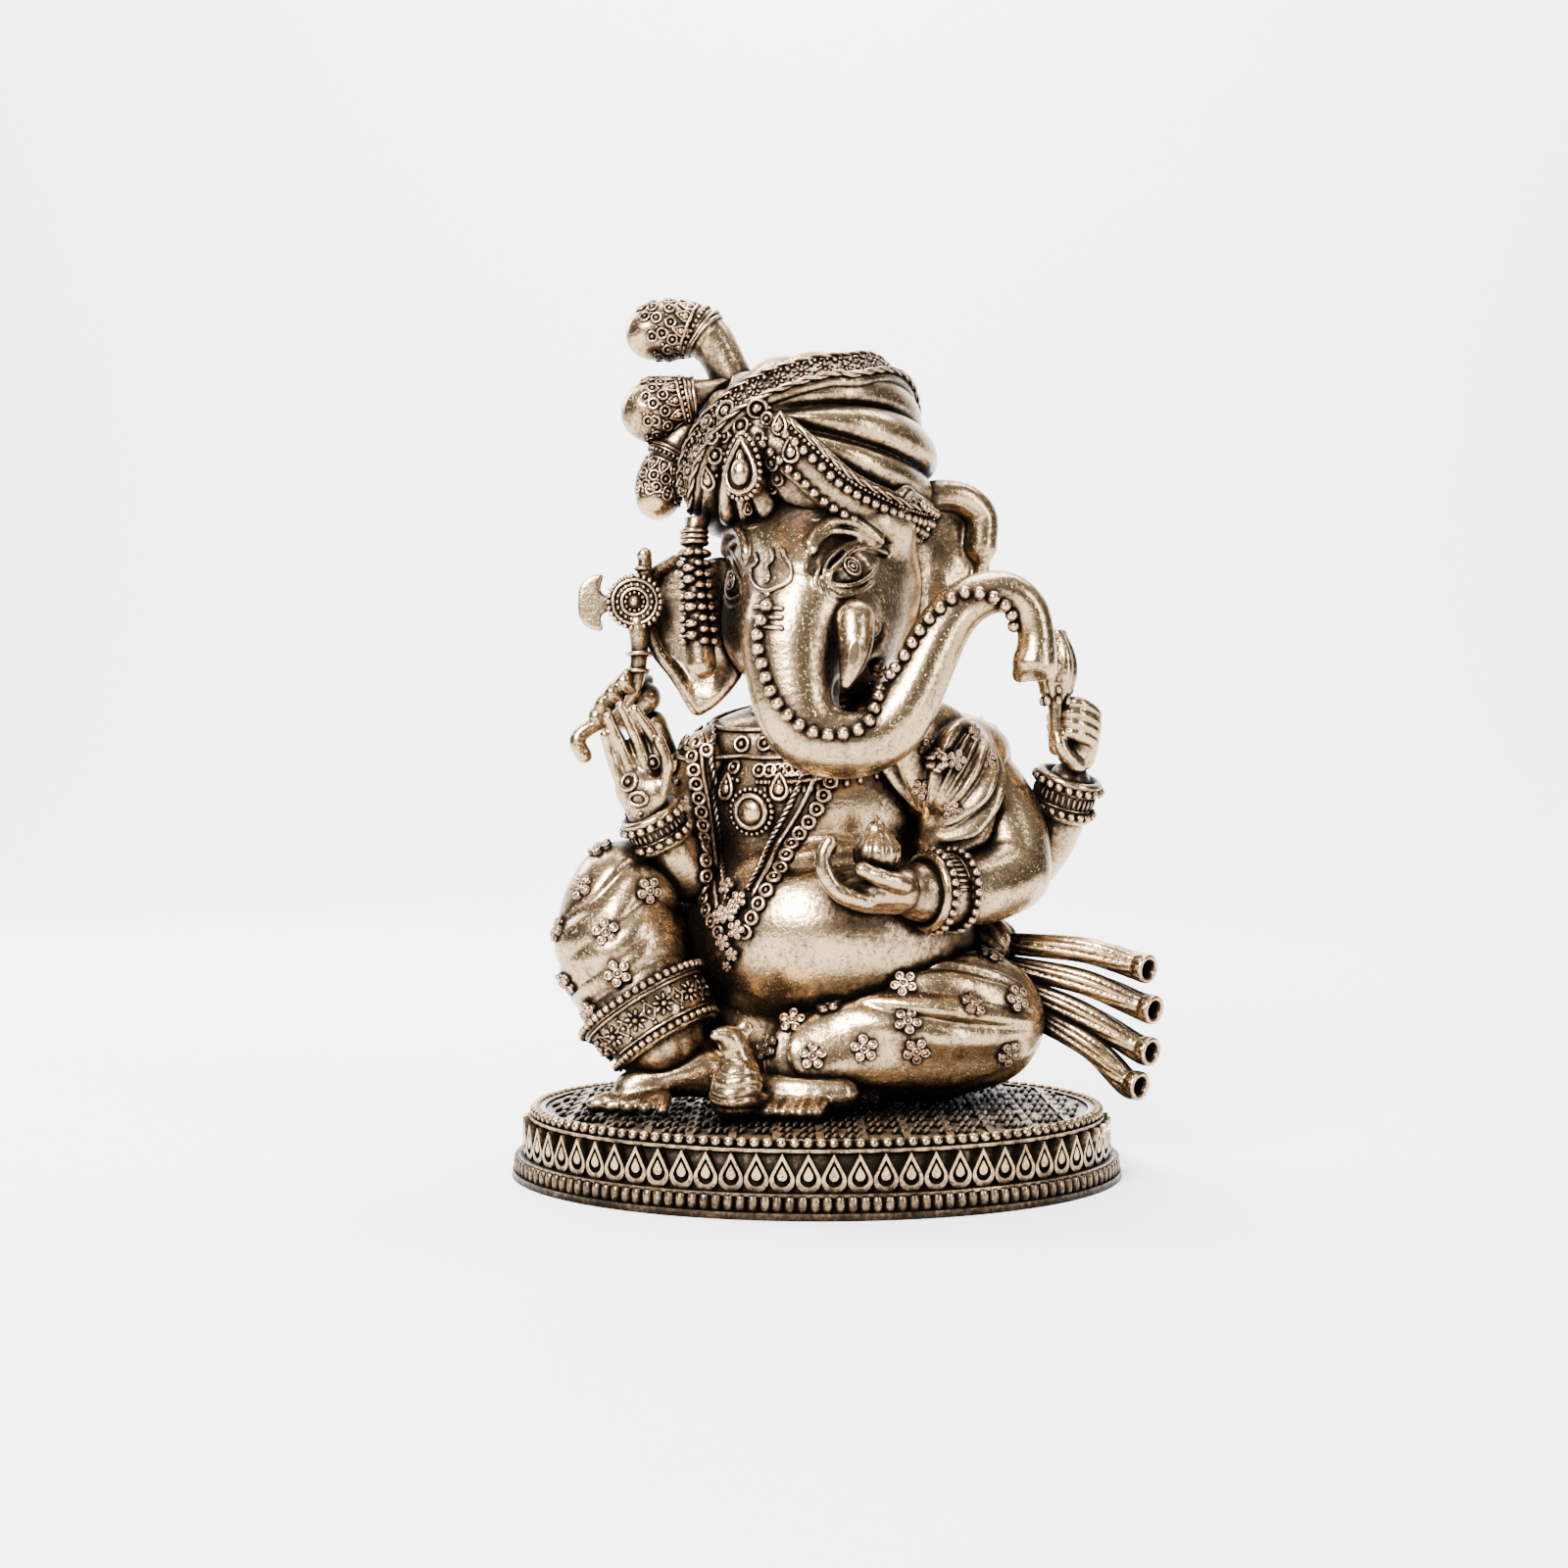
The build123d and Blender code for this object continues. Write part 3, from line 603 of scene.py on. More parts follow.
def flower(ornaments, spot, normal, size, spin=0.0):
    """A five-petalled flower with a ringed middle."""
    axes = axes_on(normal, (sin(spin), 0.0, cos(spin)))
    for k in range(5):
        turn = 2 * pi * k / 5
        way = axes[0] * sin(turn) + axes[1] * cos(turn)
        side = np.cross(axes[2], way)
        petal = (side, way, axes[2])
        ornaments.bead(spot + way * size * 0.58, (size * 0.42, size * 0.42, size * 0.34), petal, 10)
        middle = spot + way * size * 0.64 + axes[2] * size * 0.24
        ring(ornaments, middle, petal, size * 0.26, size * 0.09, 1.1, 10)
    ring(ornaments, spot + axes[2] * size * 0.28, axes, size * 0.27, size * 0.10, 1.0, 12)
    ornaments.bead(spot + axes[2] * size * 0.25, size * 0.19, axes, 8)


def daisy(ornaments, spot, normal, size):
    """A small flat daisy with eight petals."""
    axes = axes_on(normal)
    for k in range(8):
        turn = 2 * pi * k / 8
        way = axes[0] * sin(turn) + axes[1] * cos(turn)
        side = np.cross(axes[2], way)
        petal = (side, way, axes[2])
        ornaments.bead(spot + way * size * 0.62, (size * 0.17, size * 0.36, size * 0.20), petal, 8)
    ornaments.bead(spot + axes[2] * size * 0.12, size * 0.26, axes, 8)


def drop(ornaments, spot, axes, height, width, wire):
    """A teardrop frame, point up, with a domed stone inside."""
    turn = np.linspace(0, 2 * pi, 22, endpoint=False)
    across = np.sin(turn) * np.sin(turn / 2) ** 1.3 * width
    up = np.cos(turn) * height
    frame_line = [spot + axes[0] * a + axes[1] * u for a, u in zip(across, up)]
    ornaments.wire(frame_line, wire, closed=True, sides=6)
    stone = spot - axes[1] * height * 0.22
    ornaments.bead(stone, (width * 0.52, height * 0.50, wire * 1.7), axes, 12)
    ornaments.bead(stone + axes[1] * height * 0.45, (width * 0.26, height * 0.38, wire * 1.2), axes, 8)


def scatter(ornaments, skin, node, shares, size, spin):
    """Flowers at these shares of a node's box in the front view, each turned a bit further."""
    for k, share in enumerate(shares):
        flower(ornaments, *skin.seen(node, *share), size, spin * k)


def bead_row(ornaments, found, radius):
    for spot, normal in found:
        ornaments.bead(spot + normal * radius * 0.45, radius, axes_on(normal), 10)


def wire_line(ornaments, found, radius, lift=0.3):
    points = [spot + normal * radius * lift for spot, normal in found]
    ornaments.wire(points, radius, sides=6, normals=[normal for _, normal in found])


def rope_line(ornaments, found, radius):
    """Two strands twisted round each other along a line on the surface."""
    for strand in (0, pi):
        points = []
        for k, (spot, normal) in enumerate(found):
            side = np.cross(normal, unit(ahead_at(found, k)))
            turn = k * 1.05 + strand
            lift = normal * radius * (0.9 + 0.55 * sin(turn))
            points.append(spot + lift + side * radius * 0.6 * cos(turn))
        ornaments.wire(points, radius * 0.62, sides=6)


def circle_on(skin, centre, axis, radius, count, start=0.0):
    """Points and normals where spokes from outside a circle meet the surface."""
    first, second, _ = axes_on(axis)
    found = []
    for k in range(count):
        turn = start + 2 * pi * k / count
        spoke = first * cos(turn) + second * sin(turn)
        spot, normal, _, _ = skin.tree.ray_cast(Vector(centre + spoke * radius * 1.8), Vector(-spoke))
        if spot is not None:
            found.append((np.array(spot), np.array(normal)))
    return found


def bracelet(node, axis, radius, width, bead=0.62):
    """Two rows of beads with a ribbed strip between them, over the cuff's own shape."""
    cast = plain_casting(node, 0.25, FINE)
    skin = Skin(cast.name)
    centre = at(node, 0.5, 0.5, 0.5)
    axis = unit(axis)
    jewels = Ornaments()
    for way in (-1, 1):
        count = int(2 * pi * radius / (bead * 1.9))
        edge = centre + axis * way * (width * 0.5 - bead * 0.8)
        bead_row(jewels, circle_on(skin, edge, axis, radius, count), bead)
        found = circle_on(skin, centre + axis * way * width * 0.23, axis, radius, 40)
        jewels.wire([s + n * 0.05 for s, n in found], 0.22, closed=True, sides=6)
    ribs = circle_on(skin, centre, axis, radius, int(2 * pi * radius / 0.75))
    for spot, normal in ribs:
        jewels.bead(spot, (0.24, width * 0.24, 0.42), (np.cross(axis, normal), axis, normal), 8)
    jewels.piece(node + "_beads")


# ---------------------------------------------------------------- folds


def pleats(clay, first_pole, second_pole, count, depth, fade=5.0, sway=0.12, shift=0.0):
    """Presses folds into cloth that fan out from one point and gather at another."""
    _, x, y, z = clay.everywhere()
    first_pole, second_pole = np.array(first_pole, float), np.array(second_pole, float)
    middle = (first_pole + second_pole) / 2
    across, tall, along = axes_on(second_pole - first_pole)
    x, y, z = x - middle[0], y - middle[1], z - middle[2]
    a = x * across[0] + y * across[1] + z * across[2]
    b = x * tall[0] + y * tall[1] + z * tall[2]
    turn = np.arctan2(b, a) + shift
    turn = turn + sway * np.sin(2 * turn + 1.0) + 0.5 * sway * np.sin(5 * turn)
    ridge = np.abs(np.sin(count * turn / 2)) ** 0.55
    near_axis = np.clip(np.sqrt(a * a + b * b) / fade, 0, 1)
    clay.field = (clay.field + depth * (1 - ridge) * near_axis * near_axis).astype(np.float32)


def furrows(clay, start, direction, places, width, depth):
    """Presses grooves across a casting, at these distances from a plane."""
    _, x, y, z = clay.everywhere()
    direction = unit(direction)
    away = (x - start[0]) * direction[0] + (y - start[1]) * direction[1] + (z - start[2]) * direction[2]
    wave = 0.8 * np.sin(0.28 * x + 0.35 * y + 1.0)
    dent = 0
    for k, place in enumerate(places):
        patchy = 0.65 + 0.35 * np.sin(0.21 * x - 0.17 * y + 2.1 * k)
        dent = dent + patchy * np.exp(-np.abs((away + wave * (1 + 0.4 * k) - place) / width) ** 1.5)
    clay.field = (clay.field + depth * dent).astype(np.float32)


# ---------------------------------------------------------------- head and trunk

HEAD_TURN = radians(28)
FORWARD = np.array([-sin(HEAD_TURN), -cos(HEAD_TURN), 0])
SIDE = np.array([cos(HEAD_TURN), -sin(HEAD_TURN), 0])      # the head's own left
UP = np.array([0, 0, 1.0])
HEAD_RADII = np.array([13.6, 14.5, 16.0])

# The trunk's middle line in its node's box, and how thick it is there.
TRUNK_LINE = (
    (0.215, 0.68, 0.78, 8.4), (0.17, 0.55, 0.62, 7.6), (0.16, 0.46, 0.47, 6.6), (0.18, 0.38, 0.28, 5.9),
    (0.235, 0.34, 0.18, 5.4), (0.33, 0.32, 0.15, 5.0), (0.42, 0.33, 0.175, 4.7), (0.485, 0.34, 0.25, 4.5),
    (0.535, 0.36, 0.36, 4.3), (0.585, 0.38, 0.50, 4.0), (0.635, 0.40, 0.63, 3.7), (0.69, 0.42, 0.72, 3.4),
    (0.76, 0.43, 0.775, 3.1), (0.84, 0.44, 0.785, 2.8), (0.905, 0.45, 0.72, 2.6), (0.93, 0.45, 0.62, 2.5),
    (0.93, 0.45, 0.54, 2.7), (0.925, 0.45, 0.49, 2.9),
)
# Lines round the left eye, as shares of the head node's box in the front view, and their thickness.
EYE_LINES = (
    (0.85, ((0.43, 0.64), (0.45, 0.69), (0.50, 0.74), (0.56, 0.77), (0.64, 0.77), (0.72, 0.73), (0.80, 0.67))),
    (0.50, ((0.45, 0.62), (0.48, 0.68), (0.54, 0.72), (0.61, 0.72), (0.69, 0.70), (0.78, 0.65))),
    (0.40, ((0.53, 0.48), (0.54, 0.53), (0.59, 0.58), (0.64, 0.63), (0.70, 0.65), (0.77, 0.64), (0.83, 0.62))),
    (0.26, ((0.50, 0.50), (0.52, 0.57), (0.58, 0.63), (0.65, 0.67), (0.73, 0.68), (0.80, 0.66))),
    (0.32, ((0.53, 0.48), (0.58, 0.47), (0.64, 0.47), (0.70, 0.49), (0.75, 0.53), (0.78, 0.60))),
    (0.24, ((0.53, 0.46), (0.57, 0.42), (0.63, 0.42), (0.70, 0.45), (0.76, 0.49))),
    (0.26, ((0.49, 0.57), (0.46, 0.49), (0.48, 0.44))),
)
EYE_SPOT = (0.645, 0.555)


def head_middle():
    """Centre of the skull, under the top of its CAD node."""
    _, high = node_box("head")
    return np.array([1.4, 2.0, 0]) + UP * (high[2] - HEAD_RADII[2])


def on_head(ahead, aside, upwards):
    return head_middle() + FORWARD * ahead + SIDE * aside + UP * upwards


def mirrored(point):
    """The matching point on the other side of the face."""
    return point - SIDE * 2 * np.dot(point - head_middle(), SIDE)


def trunk_course(step):
    """Evenly spaced points and radii down the trunk."""
    course = smooth_line([(*at("trunk", *share[:3]), share[3]) for share in TRUNK_LINE], step)
    return course[:, :3], course[:, 3]


def sculpt_head():
    """Skull, cheeks, brows, eyelids and trunk in one seamless skin, with the eyeballs set in."""
    head_low, head_high = node_box("head")
    trunk_low, trunk_high = node_box("trunk")
    clay = Clay(np.minimum(head_low, trunk_low), np.maximum(head_high, trunk_high), FINE)
    clay.ball(head_middle(), HEAD_RADII, 0, (SIDE, -FORWARD, UP))
    clay.ball(on_head(4.0, 0, 4.0), (10.5, 11.5, 10.5), 2.0, (SIDE, FORWARD, UP))
    for way in (-1, 1):
        clay.ball(on_head(4.5, 6.5 * way, -6.0), (6.8, 8.0, 8.6), 2.5, (SIDE, FORWARD, UP))
        clay.ball(on_head(6.0, 4.5 * way, 9.0), (6.0, 6.0, 5.0), 3.0, (SIDE, FORWARD, UP))
        clay.ball(on_head(2.5, 8.3 * way, 8.0), (6.5, 7.5, 6.5), 2.0, (SIDE, FORWARD, UP))
    clay.limb([on_head(-1.0, 0, -9.0), at("torso", 0.46, 0.42, 0.96)], (9.5, 8.8), 3.0)
    course, thick = trunk_course(1.2)
    clay.limb(course, thick, 4.0)
    tip = course[-1]
    clay.limb([tip + (-1.0, 0, -0.5), tip + (-2.0, 0.5, -1.8)], (2.0, 1.0), 1.0)
    clay.limb([tip + (1.0, 0, -0.5), tip + (2.0, 0.5, -1.2)], (2.0, 1.0), 1.0)
    clay.ball(tip + (0, -1.2, -2.6), (1.5, 1.8, 1.3), 0.8, take_away=True)
    clay.soften(0.3)
    skin = clay.skin()
    # Deep shadow between the cheek and the trunk, behind the tusk.
    deep = [at("trunk", *share) for share in ((0.42, 0.40, 0.60), (0.43, 0.38, 0.44), (0.34, 0.30, 0.33))]
    clay.limb(smooth_line(deep, 0.6), 2.5, 1.6, take_away=True)
    clay.ball(at("left_tusk", 0.42, 0.95, 0.88), (3.3, 3.0, 3.2), 1.5)
    eye, out = skin.seen("head", *EYE_SPOT)
    tilt = np.array([cos(radians(24)), 0, sin(radians(24))])
    hollow = [spot + normal * 0.45 for spot, normal in skin.line(
        "head", ((0.46, 0.55), (0.49, 0.63), (0.56, 0.69), (0.64, 0.71), (0.73, 0.70), (0.82, 0.64)), 0.5)]
    clay.limb(hollow, 1.25, 0.5, take_away=True)
    clay.limb([mirrored(spot) for spot in hollow], 1.25, 0.5, take_away=True)
    for flip in (False, True):
        place, look = skin.nearest(mirrored(eye)) if flip else (eye, out)
        level = mirrored(head_middle() + tilt) - head_middle() if flip else tilt
        across, tall = axes_on(look, np.cross(level, look))[:2]
        clay.ball(place, (3.6, 2.5, 1.9), 1.0, (across, tall, look), take_away=True)
        clay.ball(place - look * 1.75, (3.1, 2.3, 2.0), 0.15, (across, tall, look))
        for thick, line in EYE_LINES:
            spots = [spot for spot, _ in skin.line("head", line, 0.4)]
            if flip:
                spots = [skin.nearest(mirrored(spot))[0] for spot in spots]
            taper = np.minimum(1, 0.45 + np.arange(len(spots)) / 4)
            clay.limb(spots, 1.15 * thick * np.minimum(taper, taper[::-1]), 0.18)
    for line in (
        ((0.21, 0.94), (0.30, 0.96), (0.41, 0.94), (0.53, 0.89)),
        ((0.19, 0.895), (0.30, 0.91), (0.41, 0.89), (0.54, 0.84), (0.66, 0.80)),
    ):
        clay.limb([spot for spot, _ in skin.line("head", line, 0.5)], 0.6, 0.4)
    # The fold of skin that the tusk comes out of.
    root = at("left_tusk", 0.42, 0.46, 0.72)
    lip = [root + (3.1 * cos(t), 0.9 * sin(t) - 0.6, 1.3 * sin(t)) for t in np.linspace(-0.6, pi + 0.6, 16)]
    clay.limb(smooth_line(lip, 0.5), 0.95, 0.7)
    clay.piece("head_and_trunk", ["head", "trunk", "left_eye", "right_eye"])
    jewels = Ornaments()
    cast = Skin("head_and_trunk")
    for flip in (False, True):
        place, look = cast.nearest(mirrored(eye) if flip else eye)
        axes = axes_on(look)
        ring(jewels, place + look * 0.05, axes, 1.30, 0.20, 1.0, 20)
        ring(jewels, place + look * 0.10, axes, 0.75, 0.16, 1.0, 16)
        jewels.bead(place + look * 0.05, (0.40, 0.40, 0.30), axes, 8)
    # Trident, drop and lines of the forehead mark.
    for line in (
        ((0.14, 0.50), (0.17, 0.46), (0.22, 0.44), (0.27, 0.46), (0.33, 0.49), (0.34, 0.55), (0.31, 0.60),
         (0.30, 0.64)),
        ((0.24, 0.64), (0.25, 0.59), (0.22, 0.56), (0.23, 0.50)),
        ((0.14, 0.50), (0.14, 0.55), (0.17, 0.58), (0.16, 0.62)),
        ((0.15, 0.37), (0.30, 0.36)), ((0.15, 0.32), (0.30, 0.32)), ((0.16, 0.28), (0.30, 0.27)),
    ):
        wire_line(jewels, cast.line("head", line, 0.4), 0.34)
    for share, radius in (((0.22, 0.50), 0.6), ((0.22, 0.43), 0.5), ((0.22, 0.385), 0.7), ((0.22, 0.32), 0.45)):
        spot, normal = cast.seen("head", *share)
        jewels.bead(spot, (radius, radius * 1.3, radius * 0.7), axes_on(normal), 10)
    jewels.piece("forehead_mark")
    beads = Ornaments()
    row = (
        (0.08, 0.77), (0.05, 0.64), (0.07, 0.49), (0.11, 0.35), (0.19, 0.24), (0.28, 0.20), (0.40, 0.24),
        (0.47, 0.41), (0.54, 0.55), (0.60, 0.68), (0.67, 0.78), (0.73, 0.83), (0.79, 0.83), (0.84, 0.81),
        (0.89, 0.76), (0.91, 0.69),
    )
    bead_row(beads, cast.line("trunk", row, 1.95), 0.95)
    beads.piece("trunk_beads")


def sculpt_tusk():
    """The left tusk, curving down and forward to a blunt point."""
    clay = Clay(*node_box("left_tusk"), voxel=FINE)
    line = [at("left_tusk", *share) for share in ((0.50, 0.40, 0.78), (0.48, 0.14, 0.42), (0.22, 0.02, 0.07))]
    line = smooth_line(line, 0.6) - (0, 0.8, 0)
    clay.limb(line, 2.85 - 2.0 * np.linspace(0, 1, len(line)) ** 1.6)
    clay.soften(0.25)
    clay.piece("left_tusk_cast", ["left_tusk"])


# ---------------------------------------------------------------- ears and tassel


def sculpt_ears():
    """Thin leaves with a rolled rim, hollow in front."""
    clay = started("left_ear", 0.5)
    hood = [at("left_ear", *s) for s in (
        (0.10, 0.10, 0.88), (0.40, 0.05, 0.93), (0.72, 0.20, 0.92), (0.92, 0.40, 0.84), (0.92, 0.45, 0.68)
    )]
    clay.limb(smooth_line(hood, 0.8), 2.3, 1.2)
    rim = [at("left_ear", *s) for s in (
        (0.92, 0.45, 0.68), (0.93, 0.6, 0.55), (0.80, 0.5, 0.36), (0.52, 0.4, 0.14)
    )]
    clay.limb(smooth_line(rim, 0.8), 1.1, 0.8)
    for centre, radii in (((0.50, 0.0, 0.68), (4.4, 2.6, 5.5)), ((0.42, 0.0, 0.42), (2.8, 2.2, 5.0))):
        clay.ball(at("left_ear", *centre), radii, 1.0, take_away=True)
    clay.piece("left_ear_cast", ["left_ear"])
    clay = started("right_ear", 0.5)
    rim = [at("right_ear", *s) for s in (
        (0.30, 0.6, 0.98), (0.06, 0.4, 0.86), (0.04, 0.25, 0.66), (0.12, 0.3, 0.42), (0.30, 0.4, 0.26),
        (0.52, 0.5, 0.04)
    )]
    clay.limb(smooth_line(rim, 0.8), 1.0, 0.8)
    clay.ball(at("right_ear", 0.32, 0.0, 0.62), (3.4, 2.4, 5.2), 0.8, take_away=True)
    clay.ball(at("right_ear", 0.60, 0.0, 0.28), (2.8, 2.2, 4.0), 0.8, take_away=True)
    clay.piece("right_ear_cast", ["right_ear"])


def make_tassel():
    """A ringed cap with strings of beads hanging from it."""
    clay = Clay(*node_box("right_tassel"), voxel=FINE)
    spine = smooth_line([at("right_tassel", 0.40, 0.60, 1.0), at("right_tassel", 0.42, 0.5, 0.75),
                         at("right_tassel", 0.50, 0.45, 0.40), at("right_tassel", 0.56, 0.45, 0.10)], 0.8)
    clay.limb(spine, np.linspace(1.2, 2.2, len(spine)))
    clay.limb([spine[0] - UP * 0.5, spine[0] + (0.6, 0.8, 2.6)], (1.5, 1.9), 0.5)
    clay.piece("right_tassel_core", ["right_tassel"])
    jewels = Ornaments()
    for spot in spine[:3]:
        jewels.wire([spot + step for step in spokes(np.eye(3), 1.7, 20)], 0.42, closed=True)
    for column in range(9):
        turn = 2 * pi * column / 9 - pi * 0.62
        size = 0.95 if column == 0 else 0.78
        count = 11.5 / (1.62 * size)
        for k in range(int(count)):
            share = 0.20 + 0.76 * k / count
            spot = spine[int(share * (len(spine) - 1))]
            reach = 1.5 + 1.1 * share
            centre = spot + (reach * cos(turn), reach * sin(turn), 0)
            jewels.bead(centre, (size, size, size * 0.72), None, 10)
    jewels.piece("right_tassel_beads")


# ---------------------------------------------------------------- turban


def ribbon(name, skin, found, width, thick, node):
    """A flat band lying on the surface along a line, with softened edges."""
    places = np.array([spot for spot, _ in found])
    clay = Clay(places.min(0) - width, places.max(0) + width, FINE)
    for k, (spot, normal) in enumerate(found):
        side = unit(np.cross(normal, ahead_at(found, k)))
        for share in (-0.75, -0.25, 0.25, 0.75):
            place, out = skin.nearest(spot + side * width * 0.5 * share)
            clay.ball(place, (width * 0.26, width * 0.26, thick), 0.5, axes_on(out, side))
    clay.soften(0.25)
    return clay.piece(name, [node])


def beside(skin, found, offset):
    """The same line moved sideways over the surface."""
    moved = []
    for k, (spot, normal) in enumerate(found):
        side = unit(np.cross(normal, ahead_at(found, k)))
        moved.append(skin.nearest(spot + side * offset))
    return moved


def sculpt_turban():
    """Wound cloth: pleats that fan out from behind the brooch and gather at the back."""
    clay = started("turban", 0.4)
    smooth = clay.skin()
    pleats(clay, at("turban", 0.20, 0.04, 0.52), at("turban", 0.70, 1.0, 0.36), 17, 2.4, 7.0, 0.16, 0.3)
    clay.soften(0.22)
    clay.piece("turban_cast", ["turban"])
    jewels = Ornaments()
    # The crest band runs from the right ear up over the crown and down the back.
    crest = smooth.line("turban", (
        (0.035, 0.17), (0.045, 0.33), (0.09, 0.50), (0.20, 0.68), (0.36, 0.80), (0.55, 0.875), (0.70, 0.885)
    ), 0.8)
    over = [spot for spot, _ in crest[::4]] + [at("turban", 0.86, 0.66, 0.72), at("turban", 0.86, 0.84, 0.40)]
    crest = [smooth.nearest(spot) for spot in smooth_line(over, 0.8)]
    ribbon("crest_band_cloth", smooth, crest, 4.6, 0.95, "turban_crest_band")
    cloth = Skin("crest_band_cloth")
    crest = [cloth.nearest(spot + normal * 3) for spot, normal in crest]
    for offset in (-2.1, 2.1):
        rope_line(jewels, [cloth.nearest(s) for s, _ in beside(cloth, crest, offset)], 0.42)
    for offset in (-1.5, 1.5):
        bead_row(jewels, beside(cloth, crest, offset), 0.28)
    for k in range(2, len(crest) - 1, 4):
        daisy(jewels, *crest[k], 1.35)
        for offset in (-0.9, 0.9):
            bead_row(jewels, [beside(cloth, crest, offset)[min(k + 2, len(crest) - 1)]], 0.36)
    # The beaded band runs from the brooch down to the left ear.
    left = smooth.line("turban", ((0.36, 0.53), (0.49, 0.37), (0.61, 0.22), (0.77, 0.11), (0.98, 0.02)), 0.75)
    ribbon("left_band_cloth", smooth, left, 5.2, 0.9, "turban_left_band")
    cloth = Skin("left_band_cloth")
    left = [cloth.nearest(spot + normal * 3) for spot, normal in left]
    half = len(left) // 2
    sign = 1 if beside(cloth, left, 1.0)[half][0][2] > left[half][0][2] else -1
    bead_row(jewels, beside(cloth, left, sign * 0.9)[::2][:-3], 0.74)
    bead_row(jewels, beside(cloth, left, -sign * 2.2)[::2][:-3], 0.74)
    bead_row(jewels, beside(cloth, left, sign * 2.0), 0.36)
    rope_line(jewels, [cloth.nearest(spot) for spot, _ in beside(cloth, left, sign * 2.6)], 0.40)
    for spot, normal in beside(cloth, left, sign * 0.4)[-6::2] + beside(cloth, left, -sign * 1.6)[-6::2]:
        ring(jewels, spot + normal * 0.1, axes_on(normal), 0.72, 0.22)
        jewels.bead(spot, (0.55, 0.55, 0.3), axes_on(normal), 10)
    # The teardrop jewel and the stones clustered round it.
    plain_casting("turban_brooch", 0.3, FINE)
    brooch = Skin("turban_brooch_cast", "turban_cast", "crest_band_cloth", "left_band_cloth")
    spot, _ = brooch.seen("turban", 0.23, 0.36)
    axes = axes_on(FORWARD)
    drop(jewels, spot + FORWARD * 0.3, axes, 3.6, 3.0, 0.42)
    jewels.bead(spot - axes[1] * 0.9, (1.5, 2.1, 1.5), axes, 16)
    jewels.bead(spot + axes[1] * 0.9, (0.8, 1.6, 1.0), axes, 12)
    for k in range(28):
        turn = 2 * pi * k / 28
        edge = spot + axes[0] * sin(turn) * 3.1 * abs(sin(turn / 2)) ** 0.5 + axes[1] * cos(turn) * 4.4
        jewels.bead(edge - FORWARD * 0.1, 0.40, axes, 8)
    for across, upwards, size, pointed in (
        (0.17, 0.66, 1.3, False), (0.29, 0.68, 1.3, False), (0.38, 0.59, 1.1, True), (0.30, 0.50, 1.0, False),
        (0.42, 0.45, 1.2, True), (0.35, 0.38, 0.9, False), (0.13, 0.42, 1.1, False), (0.06, 0.42, 0.9, False),
        (0.10, 0.30, 1.2, True), (0.23, 0.58, 1.1, False), (0.03, 0.33, 0.9, False), (0.37, 0.31, 0.9, True),
        (0.25, 0.13, 0.6, True), (0.12, 0.52, 0.9, False), (0.35, 0.24, 0.7, False), (0.33, 0.62, 0.8, False),
        (0.10, 0.60, 0.8, False), (0.17, 0.52, 0.7, False),
    ):
        spot, normal = brooch.seen("turban", across, upwards)
        axes = axes_on(normal + FORWARD * 0.6)
        if pointed:
            drop(jewels, spot + normal * 0.3, axes, size * 1.4, size * 1.2, 0.28)
        else:
            ring(jewels, spot + normal * 0.25, axes, size, 0.30)
            jewels.bead(spot + normal * 0.15, (size * 0.62, size * 0.62, 0.6), axes, 10)
        jewels.bead(spot + axes[0] * size * 1.3 + normal * 0.1, 0.34, axes, 8)
    jewels.piece("turban_jewels")
    plain_casting("forehead_band", 0.3, FINE)


# Each plume's middle line from neck to tip, as shares of the width and height of its node's box.
PLUME_LINES = {
    "plume_upper": ((0.85, 0.28), (0.66, 0.62), (0.50, 0.76), (0.34, 0.78), (0.16, 0.70)),
    "plume_middle": ((0.95, 0.63), (0.78, 0.62), (0.60, 0.58), (0.42, 0.50), (0.22, 0.46)),
    "plume_lower": ((0.95, 0.90), (0.72, 0.80), (0.55, 0.62), (0.42, 0.42), (0.32, 0.22)),
}


def dress_plumes():
    """Rings, beads and scrollwork round each plume's neck and cap."""
    for name, shares in PLUME_LINES.items():
        cast = plain_casting(name, 0.3, FINE)
        skin = Skin(cast.name)
        course = smooth_line([at(name, across, 0.5, upwards) for across, upwards in shares], 0.5)
        jewels = Ornaments()
        total = len(course)
        for share, wire in ((0.42, 0.30), (0.47, 0.30), (0.56, 0.34)):
            k = int(share * total)
            found = circle_on(skin, course[k], course[k + 1] - course[k - 1], 5.0, 32)
            jewels.wire([s + n * 0.1 for s, n in found], wire, closed=True, sides=6)
        k = int(0.515 * total)
        bead_row(jewels, circle_on(skin, course[k], course[k + 1] - course[k - 1], 5.0, 30), 0.34)
        for row, share in enumerate((0.64, 0.76, 0.88, 0.98)):
            k = min(int(share * total), total - 2)
            count = 12 if row < 3 else 8
            ahead = course[k + 1] - course[k - 1]
            found = circle_on(skin, course[k], ahead, 5.0, count, start=0.26 * (row % 2))
            for spot, normal in found:
                axes = axes_on(normal, ahead)
                if row == 0:
                    drop(jewels, spot + normal * 0.1, axes, 1.15, 1.0, 0.22)
                else:
                    ring(jewels, spot + normal * 0.1, axes, 0.72, 0.20, 1.0, 12)
                    jewels.bead(spot, (0.34, 0.34, 0.4), axes, 8)
                    jewels.bead(spot + axes[0] * 1.05 + axes[1] * 0.5, 0.26, axes, 6)
        jewels.piece(name + "_pattern")


# ---------------------------------------------------------------- body, legs and cloth


